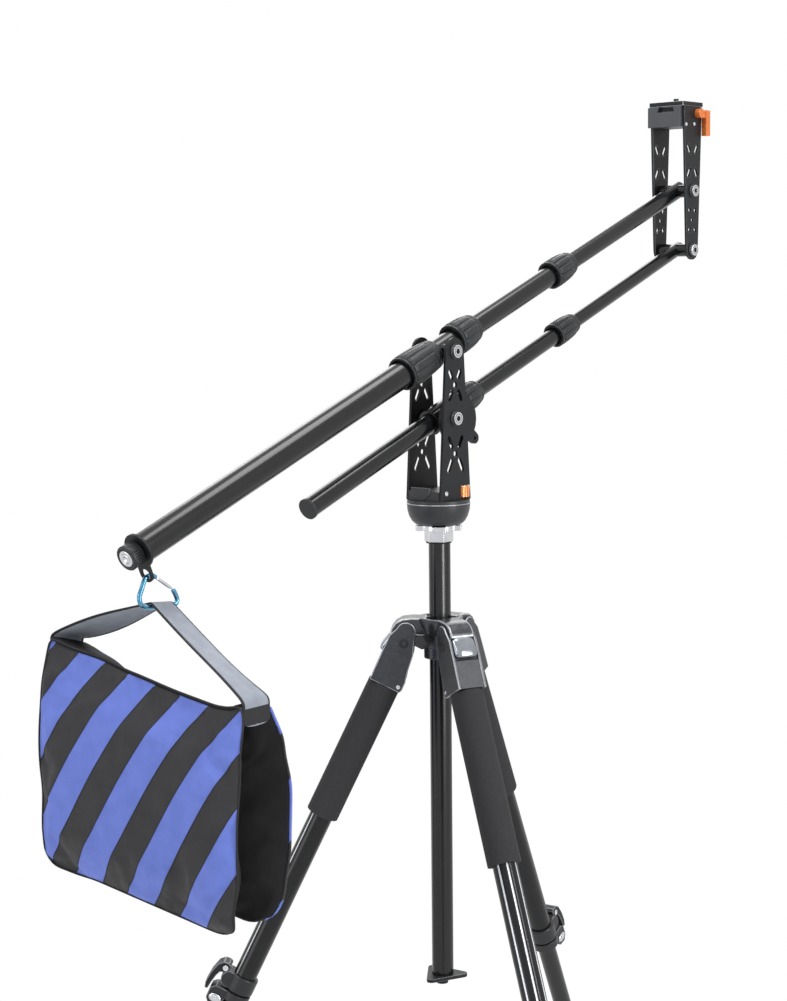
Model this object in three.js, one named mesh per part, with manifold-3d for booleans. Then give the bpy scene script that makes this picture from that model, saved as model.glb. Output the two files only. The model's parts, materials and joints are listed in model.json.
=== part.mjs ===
// A camera jib crane on a tripod, in millimetres, +Z up: the boom lies in the XZ plane, its camera end at +X.
// Two telescopic arms turn on one fulcrum and carry an upright camera bracket, and a bag hangs at the tail.
import * as THREE from "three";
import { mergeVertices } from "three/addons/utils/BufferGeometryUtils.js";
import Module from "manifold-3d";

const wasm = await Module();
wasm.setup();

// Driving dimensions
const pivotSpacing = 70;
const boomRise = THREE.MathUtils.degToRad(21.9);
const tailReach = 447.5;
const cameraReach = 473.6;
const plateGap = 42.5;
const plateThickness = 3;
const legLength = 735;
const legSplay = THREE.MathUtils.degToRad(25.7);
const legCount = 3;
const firstLegAngle = THREE.MathUtils.degToRad(-111.5);

// Clearances and counts of sides
const seatGap = 0.3;
const slideGap = 0.35;
const turningGap = 0.45;
const overrun = 4;
const weldDistance = 0.001;
const tubeSides = 24;
const roundSides = 20;
const pinSides = 16;
const halfRoundSteps = 10;
const smallSides = 8;
const cornerSteps = 4;

// Heights, measured up or down from the upper fulcrum pivot
const height = {
  baseTop: -146,
  baseRim: -156.2,
  bowlTop: -159.7,
  bowlFloor: -183,
  nutTop: -189.3,
  nutFloor: -201,
  columnTop: -196,
  crownTop: -281.4,
  crownPlateFloor: -290.4,
  legHinge: -308.4,
  crownFloor: -327.8,
  columnFloor: -672,
};
const floorHeight = height.legHinge - legLength * Math.cos(legSplay);

// Materials
const paint = (color, roughness, metalness) =>
  new THREE.MeshStandardMaterial({ color, roughness, metalness });
const blackTube = paint(0x16171a, 0.3, 0.8);
const blackPlate = paint(0x1d1d1f, 0.5, 0.6);
const charcoal = paint(0x35373b, 0.6, 0.1);
const casting = paint(0x2e2f31, 0.5, 0.6);
const brightMetal = paint(0xc9cacc, 0.25, 1);
const foam = paint(0x2f2f31, 0.95, 0);
const rubber = paint(0x1b1b1c, 0.9, 0);
const orange = paint(0xd9692a, 0.35, 0.7);
const blueMetal = paint(0x2d8fc4, 0.25, 0.9);
const webbing = paint(0x7e8794, 0.85, 0);
const stripedCloth = paint(0x5a6bd8, 0.85, 0);

// Solids from three.js geometry
function solidOf(geometry) {
  const bare = new THREE.BufferGeometry().setAttribute("position", geometry.getAttribute("position"));
  if (geometry.index) bare.setIndex(geometry.index);
  const merged = mergeVertices(bare.index ? bare.toNonIndexed() : bare, weldDistance);
  const at = merged.attributes.position.array;
  const index = merged.index.array;
  const triangles = [];
  let volume = 0;
  const corner = (i) => new THREE.Vector3().fromArray(at, 3 * i);
  for (let i = 0; i < index.length; i += 3) {
    const [a, b, c] = [index[i], index[i + 1], index[i + 2]];
    if (a === b || b === c || c === a) continue;
    triangles.push(a, b, c);
    volume += corner(a).dot(corner(b).cross(corner(c)));
  }
  if (volume < 0) triangles.reverse();
  return new wasm.Manifold(
    new wasm.Mesh({ numProp: 3, vertProperties: at, triVerts: new Uint32Array(triangles) }),
  );
}

function geometryOf(solid) {
  const mesh = solid.getMesh();
  const at = new Float32Array(mesh.numVert * 3);
  for (let i = 0; i < mesh.numVert; i++) {
    at.set(mesh.vertProperties.subarray(i * mesh.numProp, i * mesh.numProp + 3), i * 3);
  }
  const geometry = new THREE.BufferGeometry();
  geometry.setAttribute("position", new THREE.BufferAttribute(at, 3));
  geometry.setIndex(new THREE.BufferAttribute(mesh.triVerts, 1));
  const flat = geometry.toNonIndexed();
  flat.computeVertexNormals();
  return flat;
}

function add(parent, name, solid, material) {
  const mesh = new THREE.Mesh(geometryOf(solid), material);
  mesh.name = name;
  parent.add(mesh);
}

const union = (solids) => solids.reduce((sum, solid) => sum.add(solid));
const cut = (solid, tools) => tools.reduce((rest, tool) => rest.subtract(tool), solid);

// The basis turns a shape's own x, y and depth to the axis that it is extruded along
const basis = {
  x: new THREE.Matrix4().makeBasis(
    new THREE.Vector3(0, 1, 0), new THREE.Vector3(0, 0, 1), new THREE.Vector3(1, 0, 0)),
  y: new THREE.Matrix4().makeBasis(
    new THREE.Vector3(-1, 0, 0), new THREE.Vector3(0, 0, 1), new THREE.Vector3(0, 1, 0)),
  z: new THREE.Matrix4(),
};

// A flat outline, given in the two axes other than its own, from one place to another along its own axis
function prism(axis, outline, from, to) {
  const points = axis === "y" ? outline.map(([x, z]) => [-x, z]) : outline;
  const shape = new THREE.Shape(points.map(([a, b]) => new THREE.Vector2(a, b)));
  const geometry = new THREE.ExtrudeGeometry(shape, { depth: to - from, bevelEnabled: false });
  geometry.translate(0, 0, from);
  return solidOf(geometry.applyMatrix4(basis[axis]));
}

function ring(radius, sides, [a, b] = [0, 0], from = 0, to = 2 * Math.PI) {
  const whole = to - from >= 2 * Math.PI;
  const count = whole ? sides : sides + 1;
  return Array.from({ length: count }, (_, i) => {
    const angle = from + ((to - from) * i) / sides;
    return [a + radius * Math.cos(angle), b + radius * Math.sin(angle)];
  });
}

const rod = (axis, radius, from, to, centre = [0, 0], sides = tubeSides) =>
  prism(axis, ring(radius, sides, centre), from, to);

const pipe = (axis, outer, inner, from, to, centre = [0, 0], sides = tubeSides) =>
  rod(axis, outer, from, to, centre, sides).subtract(
    rod(axis, inner, from - overrun, to + overrun, centre, sides));

function block([x0, x1], [y0, y1], [z0, z1]) {
  const geometry = new THREE.BoxGeometry(x1 - x0, y1 - y0, z1 - z0);
  geometry.translate((x0 + x1) / 2, (y0 + y1) / 2, (z0 + z1) / 2);
  return solidOf(geometry);
}

// A closed profile of [radius, z] turned about Z
function turned(profile, sides = tubeSides) {
  const points = profile.map(([radius, z]) => new THREE.Vector2(radius, z));
  const geometry = new THREE.LatheGeometry(points, sides);
  geometry.rotateX(Math.PI / 2);
  return solidOf(geometry);
}

// A skin over rings that all have the same number of points, closed by a fan at each end
function loft(rings) {
  const count = rings[0].length;
  const middle = (points) => points.reduce((sum, p) => sum.add(p), new THREE.Vector3()).divideScalar(count);
  const corners = [];
  for (let r = 0; r + 1 < rings.length; r++) {
    for (let i = 0; i < count; i++) {
      const j = (i + 1) % count;
      const [a, b, c, d] = [rings[r][i], rings[r][j], rings[r + 1][j], rings[r + 1][i]];
      corners.push(a, b, c, a, c, d);
    }
  }
  const first = rings[0];
  const last = rings[rings.length - 1];
  for (let i = 0; i < count; i++) {
    const j = (i + 1) % count;
    corners.push(middle(first), first[j], first[i]);
    corners.push(middle(last), last[i], last[j]);
  }
  return solidOf(new THREE.BufferGeometry().setFromPoints(corners));
}

// A barrel along X from stations of [x, radius, flute depth]
function fluted(stations, flutes) {
  const steps = flutes * 2;
  return loft(stations.map(([x, radius, depth]) =>
    Array.from({ length: steps }, (_, i) => {
      const angle = (2 * Math.PI * i) / steps;
      const reach = radius - (i % 2 ? depth : 0);
      return new THREE.Vector3(x, reach * Math.cos(angle), reach * Math.sin(angle));
    })));
}

// An outline with pointed ribs, for a knurled grip
const knurl = (radius, depth, ribs, [a, b] = [0, 0]) =>
  ring(radius, ribs * 2).map(([x, y], i) => {
    const share = i % 2 ? (radius - depth) / radius : 1;
    return [a + x * share, b + y * share];
  });

// The frame: everything hangs on groups that stand where the joints are
const jib = new THREE.Group();
const groupAt = (parent, name, x, y, z, turn = 0) => {
  const group = new THREE.Group();
  group.name = name;
  group.position.set(x, y, z);
  group.rotation.y = turn;
  parent.add(group);
  return group;
};

const plateFace = plateGap / 2;
const plateBack = plateFace + plateThickness;
const bossFace = plateFace - slideGap;

// Column: a rounded three-sided tube that slides in the crown
const column = { radius: 11.6, lobe: 0.7, wall: 1.6, corner: THREE.MathUtils.degToRad(68.5) };
const lobed = (offset) =>
  Array.from({ length: tubeSides }, (_, i) => {
    const angle = (2 * Math.PI * i) / tubeSides;
    const radius = column.radius + offset + column.lobe * Math.cos(3 * (angle - column.corner));
    return [radius * Math.cos(angle), radius * Math.sin(angle)];
  });

const columnSolid = prism("z", lobed(0), height.columnFloor, height.columnTop).subtract(
  prism("z", lobed(-column.wall), height.columnFloor - overrun, height.columnTop + overrun));
add(jib, "column", columnSolid, blackTube);

// End plate: a three-cornered stop with a plug in the column and a small boss below
const endPlate = { corner: 27, cornerRound: 5, thickness: 4, plug: 17, bossRadius: 6.5, bossHeight: 7 };
const endPlateOutline = [0, 1, 2].flatMap((i) => {
  const angle = column.corner + (2 * Math.PI * i) / 3;
  const reach = endPlate.corner - endPlate.cornerRound;
  const centre = [reach * Math.cos(angle), reach * Math.sin(angle)];
  return ring(endPlate.cornerRound, cornerSteps, centre, angle - Math.PI / 3, angle + Math.PI / 3);
});
const endPlateTop = height.columnFloor - seatGap;
const endPlateFloor = endPlateTop - endPlate.thickness;
add(jib, "column_end_plate", union([
  prism("z", endPlateOutline, endPlateFloor, endPlateTop),
  prism("z", lobed(-column.wall - slideGap), endPlateFloor, endPlateTop + endPlate.plug),
  rod("z", endPlate.bossRadius, endPlateFloor - endPlate.bossHeight, endPlateTop, [0, 0], pinSides),
]), blackPlate);

// Flange and hexagonal nut on the column's top
const flange = { radius: 24.7, nutRadius: 15.6, nutSides: 6 };
const flangeTop = height.bowlFloor - seatGap;
add(jib, "column_flange", cut(union([
  rod("z", flange.radius, height.nutTop, flangeTop),
  rod("z", flange.nutRadius, height.nutFloor, flangeTop, [0, 0], flange.nutSides),
]), [prism("z", lobed(slideGap), height.nutFloor - overrun, height.columnTop + seatGap)]), brightMetal);

// Levelling bowl, with the spigot that the head turns on
const bowl = { rimRadius: 33.7, floorRadius: 21, spigotRadius: 9, spigotHeight: 6.5, bulgeSteps: 5 };
const bowlTop = height.bowlTop - seatGap;
const bowlSide = Array.from({ length: bowl.bulgeSteps + 1 }, (_, i) => {
  const angle = (Math.PI / 2) * (i / bowl.bulgeSteps);
  const grow = bowl.rimRadius - bowl.floorRadius;
  const depth = bowlTop - height.bowlFloor;
  return [bowl.floorRadius + grow * Math.sin(angle), bowlTop - depth * Math.cos(angle)];
});
add(jib, "bowl", turned([
  [0, height.bowlFloor],
  ...bowlSide,
  [bowl.spigotRadius, bowlTop],
  [bowl.spigotRadius, bowlTop + bowl.spigotHeight],
  [0, bowlTop + bowl.spigotHeight],
]), blackPlate);

// Turning base, with the pocket for its lock wheel
const base = { discRadius: 33.4, halfLength: 24, spigotDepth: 7.3 };
const lockWheel = {
  x: 15.5, y: -19, radius: 8.4, knurl: 0.6, ribs: 14, pinRadius: 2, top: -142, floor: -153.7,
};
const wheelPocket = lockWheel.radius + 2 * seatGap;
const wheelCentre = [lockWheel.x, lockWheel.y];
const wheelFloor = lockWheel.floor - seatGap;
const pocketTool = rod("z", wheelPocket, wheelFloor, height.baseTop + 2 * overrun, wheelCentre);
const wheelPin = rod("z", lockWheel.pinRadius, wheelFloor - overrun / 2, lockWheel.top, wheelCentre, pinSides);
add(jib, "pan_base", cut(union([
  rod("z", base.discRadius, height.bowlTop, height.baseRim),
  block([-base.halfLength, base.halfLength], [-bossFace, bossFace], [height.bowlTop, height.baseTop]),
]), [
  rod("z", bowl.spigotRadius + slideGap, height.bowlTop - overrun, height.bowlTop + base.spigotDepth),
  pocketTool,
]).add(wheelPin), blackPlate);

add(jib, "pan_lock_wheel", prism("z", knurl(lockWheel.radius, lockWheel.knurl, lockWheel.ribs, wheelCentre),
  lockWheel.floor, lockWheel.top).subtract(rod("z", lockWheel.pinRadius + slideGap,
  lockWheel.floor - overrun, lockWheel.top + overrun, wheelCentre, pinSides)), orange);

// Slits in pairs that lean together, from tip to tip, and round holes, through the side plates
const slit = { width: 5.2, lean: THREE.MathUtils.degToRad(27) };
function slitTool(x, z, length, lean, from, to) {
  const across = slit.width / 2;
  const along = length / 2 - across;
  const outline = [[-across, -along], [0, -along - across], [across, -along],
    [across, along], [0, along + across], [-across, along]];
  const turnedOutline = outline.map(([a, b]) => [
    x + a * Math.cos(lean) + b * Math.sin(lean),
    z - a * Math.sin(lean) + b * Math.cos(lean),
  ]);
  return prism("y", turnedOutline, from, to);
}
function slitPair(pair, way, from, to) {
  return [-1, 1].map((side) =>
    slitTool(side * pair.spread, pair.z, pair.length, way * side * slit.lean, from, to));
}

// Fulcrum plates: round at the upper pivot and wider down to the base
const fulcrum = { topRadius: 14.2, footHalf: 24, holeHeights: [-35, -107], holeRadius: 3.2 };
const fulcrumSlits = [
  { z: -24, length: 13, spread: 6.6 },
  { z: -46, length: 15, spread: 7.2 },
  { z: -95, length: 16, spread: 8 },
  { z: -119, length: 17.7, spread: 8.6 },
];
const pivotHole = { bolt: 4, hole: 4.35 };
const fulcrumOutline = [
  ...ring(fulcrum.topRadius, halfRoundSteps, [0, 0], 0, Math.PI),
  [-fulcrum.footHalf, height.baseRim + seatGap],
  [fulcrum.footHalf, height.baseRim + seatGap],
];
function fulcrumPlate(from, to) {
  const [low, high] = [from - overrun, to + overrun];
  return cut(prism("y", fulcrumOutline, from, to), [
    rod("y", pivotHole.hole, low, high, [0, 0], pinSides),
    rod("y", pivotHole.hole, low, high, [0, -pivotSpacing], pinSides),
    ...fulcrumSlits.flatMap((pair, i) => slitPair(pair, i % 2 ? -1 : 1, low, high)),
    ...fulcrum.holeHeights.map((z) => rod("y", fulcrum.holeRadius, low, high, [0, z], pinSides)),
  ]);
}
const wheelWindow = rod("z", wheelPocket, wheelFloor, lockWheel.top + 2 * seatGap, wheelCentre);
add(jib, "fulcrum_plate_near", fulcrumPlate(-plateBack, -plateFace).subtract(wheelWindow), blackPlate);
add(jib, "fulcrum_plate_far", fulcrumPlate(plateFace, plateBack), blackPlate);

// Socket bolts at the pivots on the near side
const bolt = { headRadius: 6.8, headHeight: 4.2, socketRadius: 3, socketDepth: 2.4, socketSides: 6 };
function socketBolt(z, reach) {
  const seat = -plateBack - seatGap;
  const face = seat - bolt.headHeight;
  return cut(union([
    rod("y", bolt.headRadius, face, seat, [0, z], roundSides),
    rod("y", pivotHole.bolt, seat, -reach, [0, z], pinSides),
  ]), [rod("y", bolt.socketRadius, face - overrun, face + bolt.socketDepth, [0, z], bolt.socketSides)]);
}

// Tubes of the two arms: outer and inner radius, start and end along the arm
const upper = {
  rear: { outer: 14, inner: 12.95, insertion: 37.7 },
  sleeve: { outer: 12.6, inner: 11.45, start: -230, end: 40 },
  mid: { outer: 11.1, inner: 9.95, start: -130, end: 218 },
  front: { outer: 9.6, inner: 8.5, start: 170 },
};
const lower = {
  reach: 210,
  sleeve: { outer: 13.8, neck: 11.4, start: -14.5, shoulder: 36, end: 48 },
  rear: { outer: 10.2, inner: 9.5, end: -4.3 },
  mid: { outer: 9.15, inner: 8.2, start: -75, end: 226 },
  front: { outer: 7.85, inner: 6.9, start: 170 },
};
const trunnion = { radius: 8, boreStop: 1 };

add(jib, "pivot_bolt_upper", socketBolt(0, upper.sleeve.outer + trunnion.boreStop + slideGap), brightMetal);
add(jib, "pivot_bolt_lower", socketBolt(-pivotSpacing, lower.sleeve.outer + trunnion.boreStop + slideGap),
  brightMetal);

// Tilt lock knob on the far side of the upper pivot
const tiltKnob = { radius: 6.4, knurl: 0.5, ribs: 12, gripLength: 5, neckRadius: 5.4, neckLength: 1 };
const tiltSeat = plateBack + seatGap;
add(jib, "tilt_lock_knob", union([
  rod("y", pivotHole.bolt, upper.sleeve.outer + trunnion.boreStop + slideGap, tiltSeat, [0, 0], pinSides),
  rod("y", tiltKnob.neckRadius, tiltSeat, tiltSeat + tiltKnob.neckLength, [0, 0], pinSides),
  prism("y", knurl(tiltKnob.radius, tiltKnob.knurl, tiltKnob.ribs), tiltSeat + tiltKnob.neckLength,
    tiltSeat + tiltKnob.neckLength + tiltKnob.gripLength),
]), charcoal);

// Brake housing inside the near plate, around the lower pivot, with a lug for its screw
const brake = {
  radius: 28, x: 10, drop: 2, thickness: 4.7, lugX: 36, lugDrop: 23, lugRadius: 6, screwRadius: 2,
};
const brakeFrom = -plateFace + slideGap;
const brakeTo = brakeFrom + brake.thickness;
const brakeCentre = [brake.x, -pivotSpacing - brake.drop];
const brakeLug = [brake.lugX, -pivotSpacing - brake.lugDrop];
const lugAngle = Math.atan2(brakeLug[1] - brakeCentre[1], brakeLug[0] - brakeCentre[0]);
const lugSide = [-Math.sin(lugAngle) * brake.lugRadius, Math.cos(lugAngle) * brake.lugRadius];
const lugArm = [
  [brakeCentre[0] - lugSide[0], brakeCentre[1] - lugSide[1]],
  [brakeLug[0] - lugSide[0], brakeLug[1] - lugSide[1]],
  [brakeLug[0] + lugSide[0], brakeLug[1] + lugSide[1]],
  [brakeCentre[0] + lugSide[0], brakeCentre[1] + lugSide[1]],
];
add(jib, "brake_housing", cut(union([
  rod("y", brake.radius, brakeFrom, brakeTo, brakeCentre, tubeSides),
  rod("y", brake.lugRadius, brakeFrom, brakeTo, brakeLug, pinSides),
  prism("y", lugArm, brakeFrom, brakeTo),
]), [
  rod("y", trunnion.radius + slideGap, brakeFrom - overrun, brakeTo + overrun,
    [0, -pivotSpacing], roundSides),
  rod("y", brake.screwRadius, brakeFrom - overrun, brakeTo + overrun, brakeLug, pinSides),
]), blackPlate);

// Upper arm, in its own frame with X along the arm
const boom = groupAt(jib, "boom_frame", 0, 0, 0, -boomRise);

const nearBore = (outer) => rod("y", pivotHole.hole, -bossFace - overrun, -outer - trunnion.boreStop,
  [0, 0], pinSides);
const farBore = (outer) => rod("y", pivotHole.hole, outer + trunnion.boreStop, bossFace + overrun,
  [0, 0], pinSides);

add(boom, "upper_sleeve", cut(union([
  rod("x", upper.sleeve.outer, upper.sleeve.start, upper.sleeve.end),
  rod("y", trunnion.radius, -bossFace, bossFace, [0, 0], roundSides),
]), [
  rod("x", upper.sleeve.inner, upper.sleeve.start - overrun, upper.sleeve.end + overrun),
  nearBore(upper.sleeve.outer),
  farBore(upper.sleeve.outer),
]), blackTube);

// Twist collars: each holds the end of one tube and grips the next
const collar = { flutes: 12, flute: 1, lip: 3, frontStep: 3, barrelShare: 0.7 };
function twistCollar(from, to, rimRadius, gripRadius, noseRadius, backBore, frontBore, shoulder) {
  const body = fluted([
    [from, rimRadius, 0],
    [from + collar.lip, rimRadius, 0],
    [from + collar.lip + collar.frontStep, gripRadius, collar.flute],
    [from + collar.barrelShare * (to - from), gripRadius, collar.flute],
    [to - collar.frontStep, noseRadius + collar.flute, collar.flute / 2],
    [to, noseRadius, 0],
  ], collar.flutes);
  return cut(body, [
    rod("x", backBore, from - overrun, shoulder),
    rod("x", frontBore, shoulder - overrun, to + overrun),
  ]);
}
const collars = {
  rear: { from: -60.4, to: -8.6, rim: 18, grip: 19, nose: 15.8 },
  front: { from: 25.5, to: 62, rim: 17.6, grip: 18.4, nose: 14.6 },
  mid: { from: 207, to: 246, rim: 15.8, grip: 16.3, nose: 12.4 },
  lowerFront: { from: 36.4, to: 67, rim: 15.2, grip: 15.5, nose: 12.2 },
  lowerMid: { from: 215, to: 253, rim: 13.7, grip: 14.1, nose: 10.8 },
};
const rearTubeEnd = collars.rear.from + upper.rear.insertion;
add(boom, "upper_rear_collar", twistCollar(
  collars.rear.from, collars.rear.to, collars.rear.rim, collars.rear.grip, collars.rear.nose,
  upper.rear.outer + turningGap, upper.sleeve.outer + turningGap, rearTubeEnd + seatGap), charcoal);
add(boom, "upper_front_collar", twistCollar(
  collars.front.from, collars.front.to, collars.front.rim, collars.front.grip, collars.front.nose,
  upper.sleeve.outer + turningGap, upper.mid.outer + turningGap, upper.sleeve.end + seatGap), charcoal);
add(boom, "upper_mid_collar", twistCollar(
  collars.mid.from, collars.mid.to, collars.mid.rim, collars.mid.grip, collars.mid.nose,
  upper.mid.outer + turningGap, upper.front.outer + turningGap, upper.mid.end + seatGap), charcoal);

// Rear tube, with the plug that the tail knob screws into
const tailPlug = 12;
add(boom, "upper_rear_tube", cut(union([
  pipe("x", upper.rear.outer, upper.rear.inner, -tailReach, rearTubeEnd),
  rod("x", upper.rear.inner + slideGap, -tailReach, -tailReach + tailPlug),
]), [rod("x", pivotHole.hole, -tailReach - overrun, -tailReach + tailPlug + overrun, [0, 0], pinSides)]),
blackTube);

add(boom, "upper_mid_tube", pipe("x", upper.mid.outer, upper.mid.inner, upper.mid.start, upper.mid.end),
  blackTube);

// Front tubes end in a cross boss between the bracket's plates, with a stub through the far plate
const tip = { bossRadius: 7.6, beyond: 8, capLength: 4, capShare: 0.72 };
const plateRun = plateBack + seatGap;
function frontTube(tube) {
  const end = cameraReach + tip.beyond;
  const cap = loft([end, end + tip.capLength].map((x, i) =>
    ring(tube.outer * (i ? tip.capShare : 1), tubeSides).map(([y, z]) => new THREE.Vector3(x, y, z))));
  const solidEnd = cameraReach - tip.bossRadius - tip.capLength;
  const boltBore = rod("y", pivotHole.hole, -bossFace - overrun, -tube.outer - trunnion.boreStop,
    [cameraReach, 0], pinSides);
  return cut(union([
    cut(rod("x", tube.outer, tube.start, end), [rod("x", tube.inner, tube.start - overrun, solidEnd)]),
    cap,
    rod("y", tip.bossRadius, -bossFace, bossFace, [cameraReach, 0], roundSides),
    rod("y", pivotHole.bolt, 0, plateRun, [cameraReach, 0], pinSides),
  ]), [boltBore]);
}
add(boom, "upper_front_tube", frontTube(upper.front), blackTube);

// Hook plate across the tail, and the knob that holds it
const hook = {
  thickness: 2.5, discRadius: 17, lugHalf: 8, lugReach: 32.2,
  barReach: 26.4, holeReach: 23.9, holeRadius: 5.5,
};
const hookTo = -tailReach - seatGap;
const hookFrom = hookTo - hook.thickness;
const lugCentre = [0, -hook.lugReach + hook.lugHalf];
add(boom, "hook_plate", cut(union([
  rod("x", hook.discRadius, hookFrom, hookTo),
  rod("x", hook.lugHalf, hookFrom, hookTo, lugCentre, roundSides),
  block([hookFrom, hookTo], [-hook.lugHalf, hook.lugHalf], [lugCentre[1], 0]),
]), [
  rod("x", pivotHole.hole, hookFrom - overrun, hookTo + overrun, [0, 0], pinSides),
  rod("x", hook.holeRadius, hookFrom - overrun, hookTo + overrun, [0, -hook.holeReach], pinSides),
]), blackPlate);

const tailKnob = {
  radius: 12, knurl: 0.8, ribs: 18, gripLength: 13.4, neckRadius: 9, neckLength: 1.6, shank: 14,
  inlayRadius: 8.6, inlayDepth: 1,
};
const tailSeat = hookFrom - seatGap;
const gripFrom = tailSeat - tailKnob.neckLength - tailKnob.gripLength;
add(boom, "tail_knob", cut(union([
  rod("x", pivotHole.bolt, tailSeat, tailSeat + tailKnob.shank, [0, 0], pinSides),
  rod("x", tailKnob.neckRadius, tailSeat - tailKnob.neckLength, tailSeat, [0, 0], roundSides),
  prism("x", knurl(tailKnob.radius, tailKnob.knurl, tailKnob.ribs), gripFrom, tailSeat - tailKnob.neckLength),
]), [rod("x", tailKnob.inlayRadius, gripFrom - overrun, gripFrom + tailKnob.inlayDepth, [0, 0], roundSides)]),
charcoal);

// Lower arm, parallel to the upper one
const lowerBoom = groupAt(jib, "lower_boom_frame", 0, 0, -pivotSpacing, -boomRise);
add(lowerBoom, "lower_sleeve", cut(union([
  rod("x", lower.sleeve.outer, lower.sleeve.start, lower.sleeve.shoulder),
  rod("x", lower.sleeve.neck, lower.sleeve.start, lower.sleeve.end),
  rod("y", trunnion.radius, -bossFace, bossFace, [0, 0], roundSides),
  rod("y", pivotHole.bolt, 0, plateRun, [0, 0], pinSides),
]), [
  rod("x", lower.rear.outer + slideGap, lower.sleeve.start - overrun, lower.rear.end + seatGap),
  rod("x", lower.mid.outer + slideGap, lower.sleeve.start, lower.sleeve.end + overrun),
  nearBore(lower.sleeve.outer),
]), blackTube);
add(lowerBoom, "lower_rear_tube", pipe("x", lower.rear.outer, lower.rear.inner, -lower.reach, lower.rear.end),
  blackTube);

const endCap = { rimRadius: 11, thickness: 3.2, plug: 10 };
const endCapTo = -lower.reach - seatGap;
const endCapFrom = endCapTo - endCap.thickness;
add(lowerBoom, "lower_end_cap", union([
  rod("x", endCap.rimRadius, endCapFrom, endCapTo),
  rod("x", lower.rear.inner - slideGap, endCapTo - endCap.thickness / 2, -lower.reach + endCap.plug),
]), charcoal);

add(lowerBoom, "lower_front_collar", twistCollar(
  collars.lowerFront.from, collars.lowerFront.to, collars.lowerFront.rim, collars.lowerFront.grip,
  collars.lowerFront.nose, lower.sleeve.neck + turningGap, lower.mid.outer + turningGap,
  lower.sleeve.end + seatGap), charcoal);
add(lowerBoom, "lower_mid_tube", pipe("x", lower.mid.outer, lower.mid.inner, lower.mid.start, lower.mid.end),
  blackTube);
add(lowerBoom, "lower_mid_collar", twistCollar(
  collars.lowerMid.from, collars.lowerMid.to, collars.lowerMid.rim, collars.lowerMid.grip,
  collars.lowerMid.nose, lower.mid.outer + turningGap, lower.front.outer + turningGap,
  lower.mid.end + seatGap), charcoal);
add(lowerBoom, "lower_front_tube", frontTube(lower.front), blackTube);

// Camera bracket, upright at the front pivots
const headX = cameraReach * Math.cos(boomRise);
const headZ = cameraReach * Math.sin(boomRise);
const head = groupAt(jib, "head_frame", headX, 0, headZ);
const bracket = { top: 98.5, topHalf: 18.5, footRadius: 11.5, holeHeight: -34.5, holeRadius: 2.7 };
const bracketSlits = [
  { z: 49, length: 14.4, spread: 7.4 },
  { z: 21, length: 14.4, spread: 7.4 },
  { z: -23, length: 8.4, spread: 5.8 },
  { z: -46, length: 8.4, spread: 5.8 },
];
const deck = {
  floor: 75, rear: -22.5, front: 18, farOverhang: 4, railHalf: 12, railNeckHalf: 9.5, railDepth: 6,
};
const bracketOutline = [
  [bracket.topHalf, bracket.top],
  [-bracket.topHalf, bracket.top],
  ...ring(bracket.footRadius, halfRoundSteps, [0, -pivotSpacing], Math.PI, 2 * Math.PI),
];
const lever = {
  x: 8, z: 91, pinRadius: 2.4, pinReach: 8, hubRadius: 5.5, thickness: 5.5, standOff: 1.2,
  armTop: 95, armFloor: 86, tip: 26, gripRear: 17.5, gripFloor: 65,
};
function bracketPlate(from, to) {
  const [low, high] = [from - overrun, to + overrun];
  return cut(prism("y", bracketOutline, from, to), [
    rod("y", pivotHole.hole, low, high, [0, 0], pinSides),
    rod("y", pivotHole.hole, low, high, [0, -pivotSpacing], pinSides),
    rod("y", bracket.holeRadius, low, high, [0, bracket.holeHeight], pinSides),
    ...bracketSlits.flatMap((pair, i) => slitPair(pair, i % 2 ? -1 : 1, low, high)),
  ]);
}
const leverBore = rod("y", lever.pinRadius + slideGap, -plateBack - overrun,
  -plateBack + lever.pinReach + seatGap, [lever.x, lever.z], pinSides);
add(head, "camera_plate_near", bracketPlate(-plateBack, -plateFace).subtract(leverBore), blackPlate);
add(head, "camera_plate_far", bracketPlate(plateFace, plateBack), blackPlate);
add(head, "camera_bolt_upper", socketBolt(0, upper.front.outer + trunnion.boreStop + slideGap), brightMetal);
add(head, "camera_bolt_lower", socketBolt(-pivotSpacing, lower.front.outer + trunnion.boreStop + slideGap),
  brightMetal);

// Deck between the plates, with the rail groove for the quick release plate
const deckTop = bracket.top + seatGap;
const rail = (offset, floor, top) => prism("x", [
  [-deck.railHalf - offset, floor],
  [deck.railHalf + offset, floor],
  [deck.railNeckHalf + offset, top],
  [-deck.railNeckHalf - offset, top],
], deck.rear - overrun, deck.front + overrun);
const railFloor = deckTop - deck.railDepth;
add(head, "camera_deck", cut(union([
  block([deck.rear, deck.front], [-bossFace, bossFace], [deck.floor, deckTop]),
  block([deck.rear, -bracket.topHalf - seatGap], [0, plateBack + deck.farOverhang - plateThickness],
    [deck.floor, deckTop]),
]), [
  rail(slideGap, railFloor - slideGap, deckTop + slideGap),
  leverBore,
]), blackPlate);

// Quick release plate: slides along the rail, and carries the camera screw
const release = { halfLength: 21, halfWidth: 24, thickness: 5.5, screwRadius: 3.1, screwHeight: 5 };
const releaseFloor = deckTop + seatGap;
const releaseTop = releaseFloor + release.thickness;
const releaseRail = rail(0, railFloor, releaseFloor).intersect(block(
  [-release.halfLength + overrun, release.halfLength - overrun],
  [-release.halfWidth, release.halfWidth],
  [railFloor, releaseTop]));
add(head, "quick_release_plate", union([
  block([-release.halfLength, release.halfLength], [-release.halfWidth, release.halfWidth],
    [releaseFloor, releaseTop]),
  releaseRail,
  rod("z", release.screwRadius, releaseFloor, releaseTop + release.screwHeight, [0, 0], pinSides),
]), blackPlate);

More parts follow.
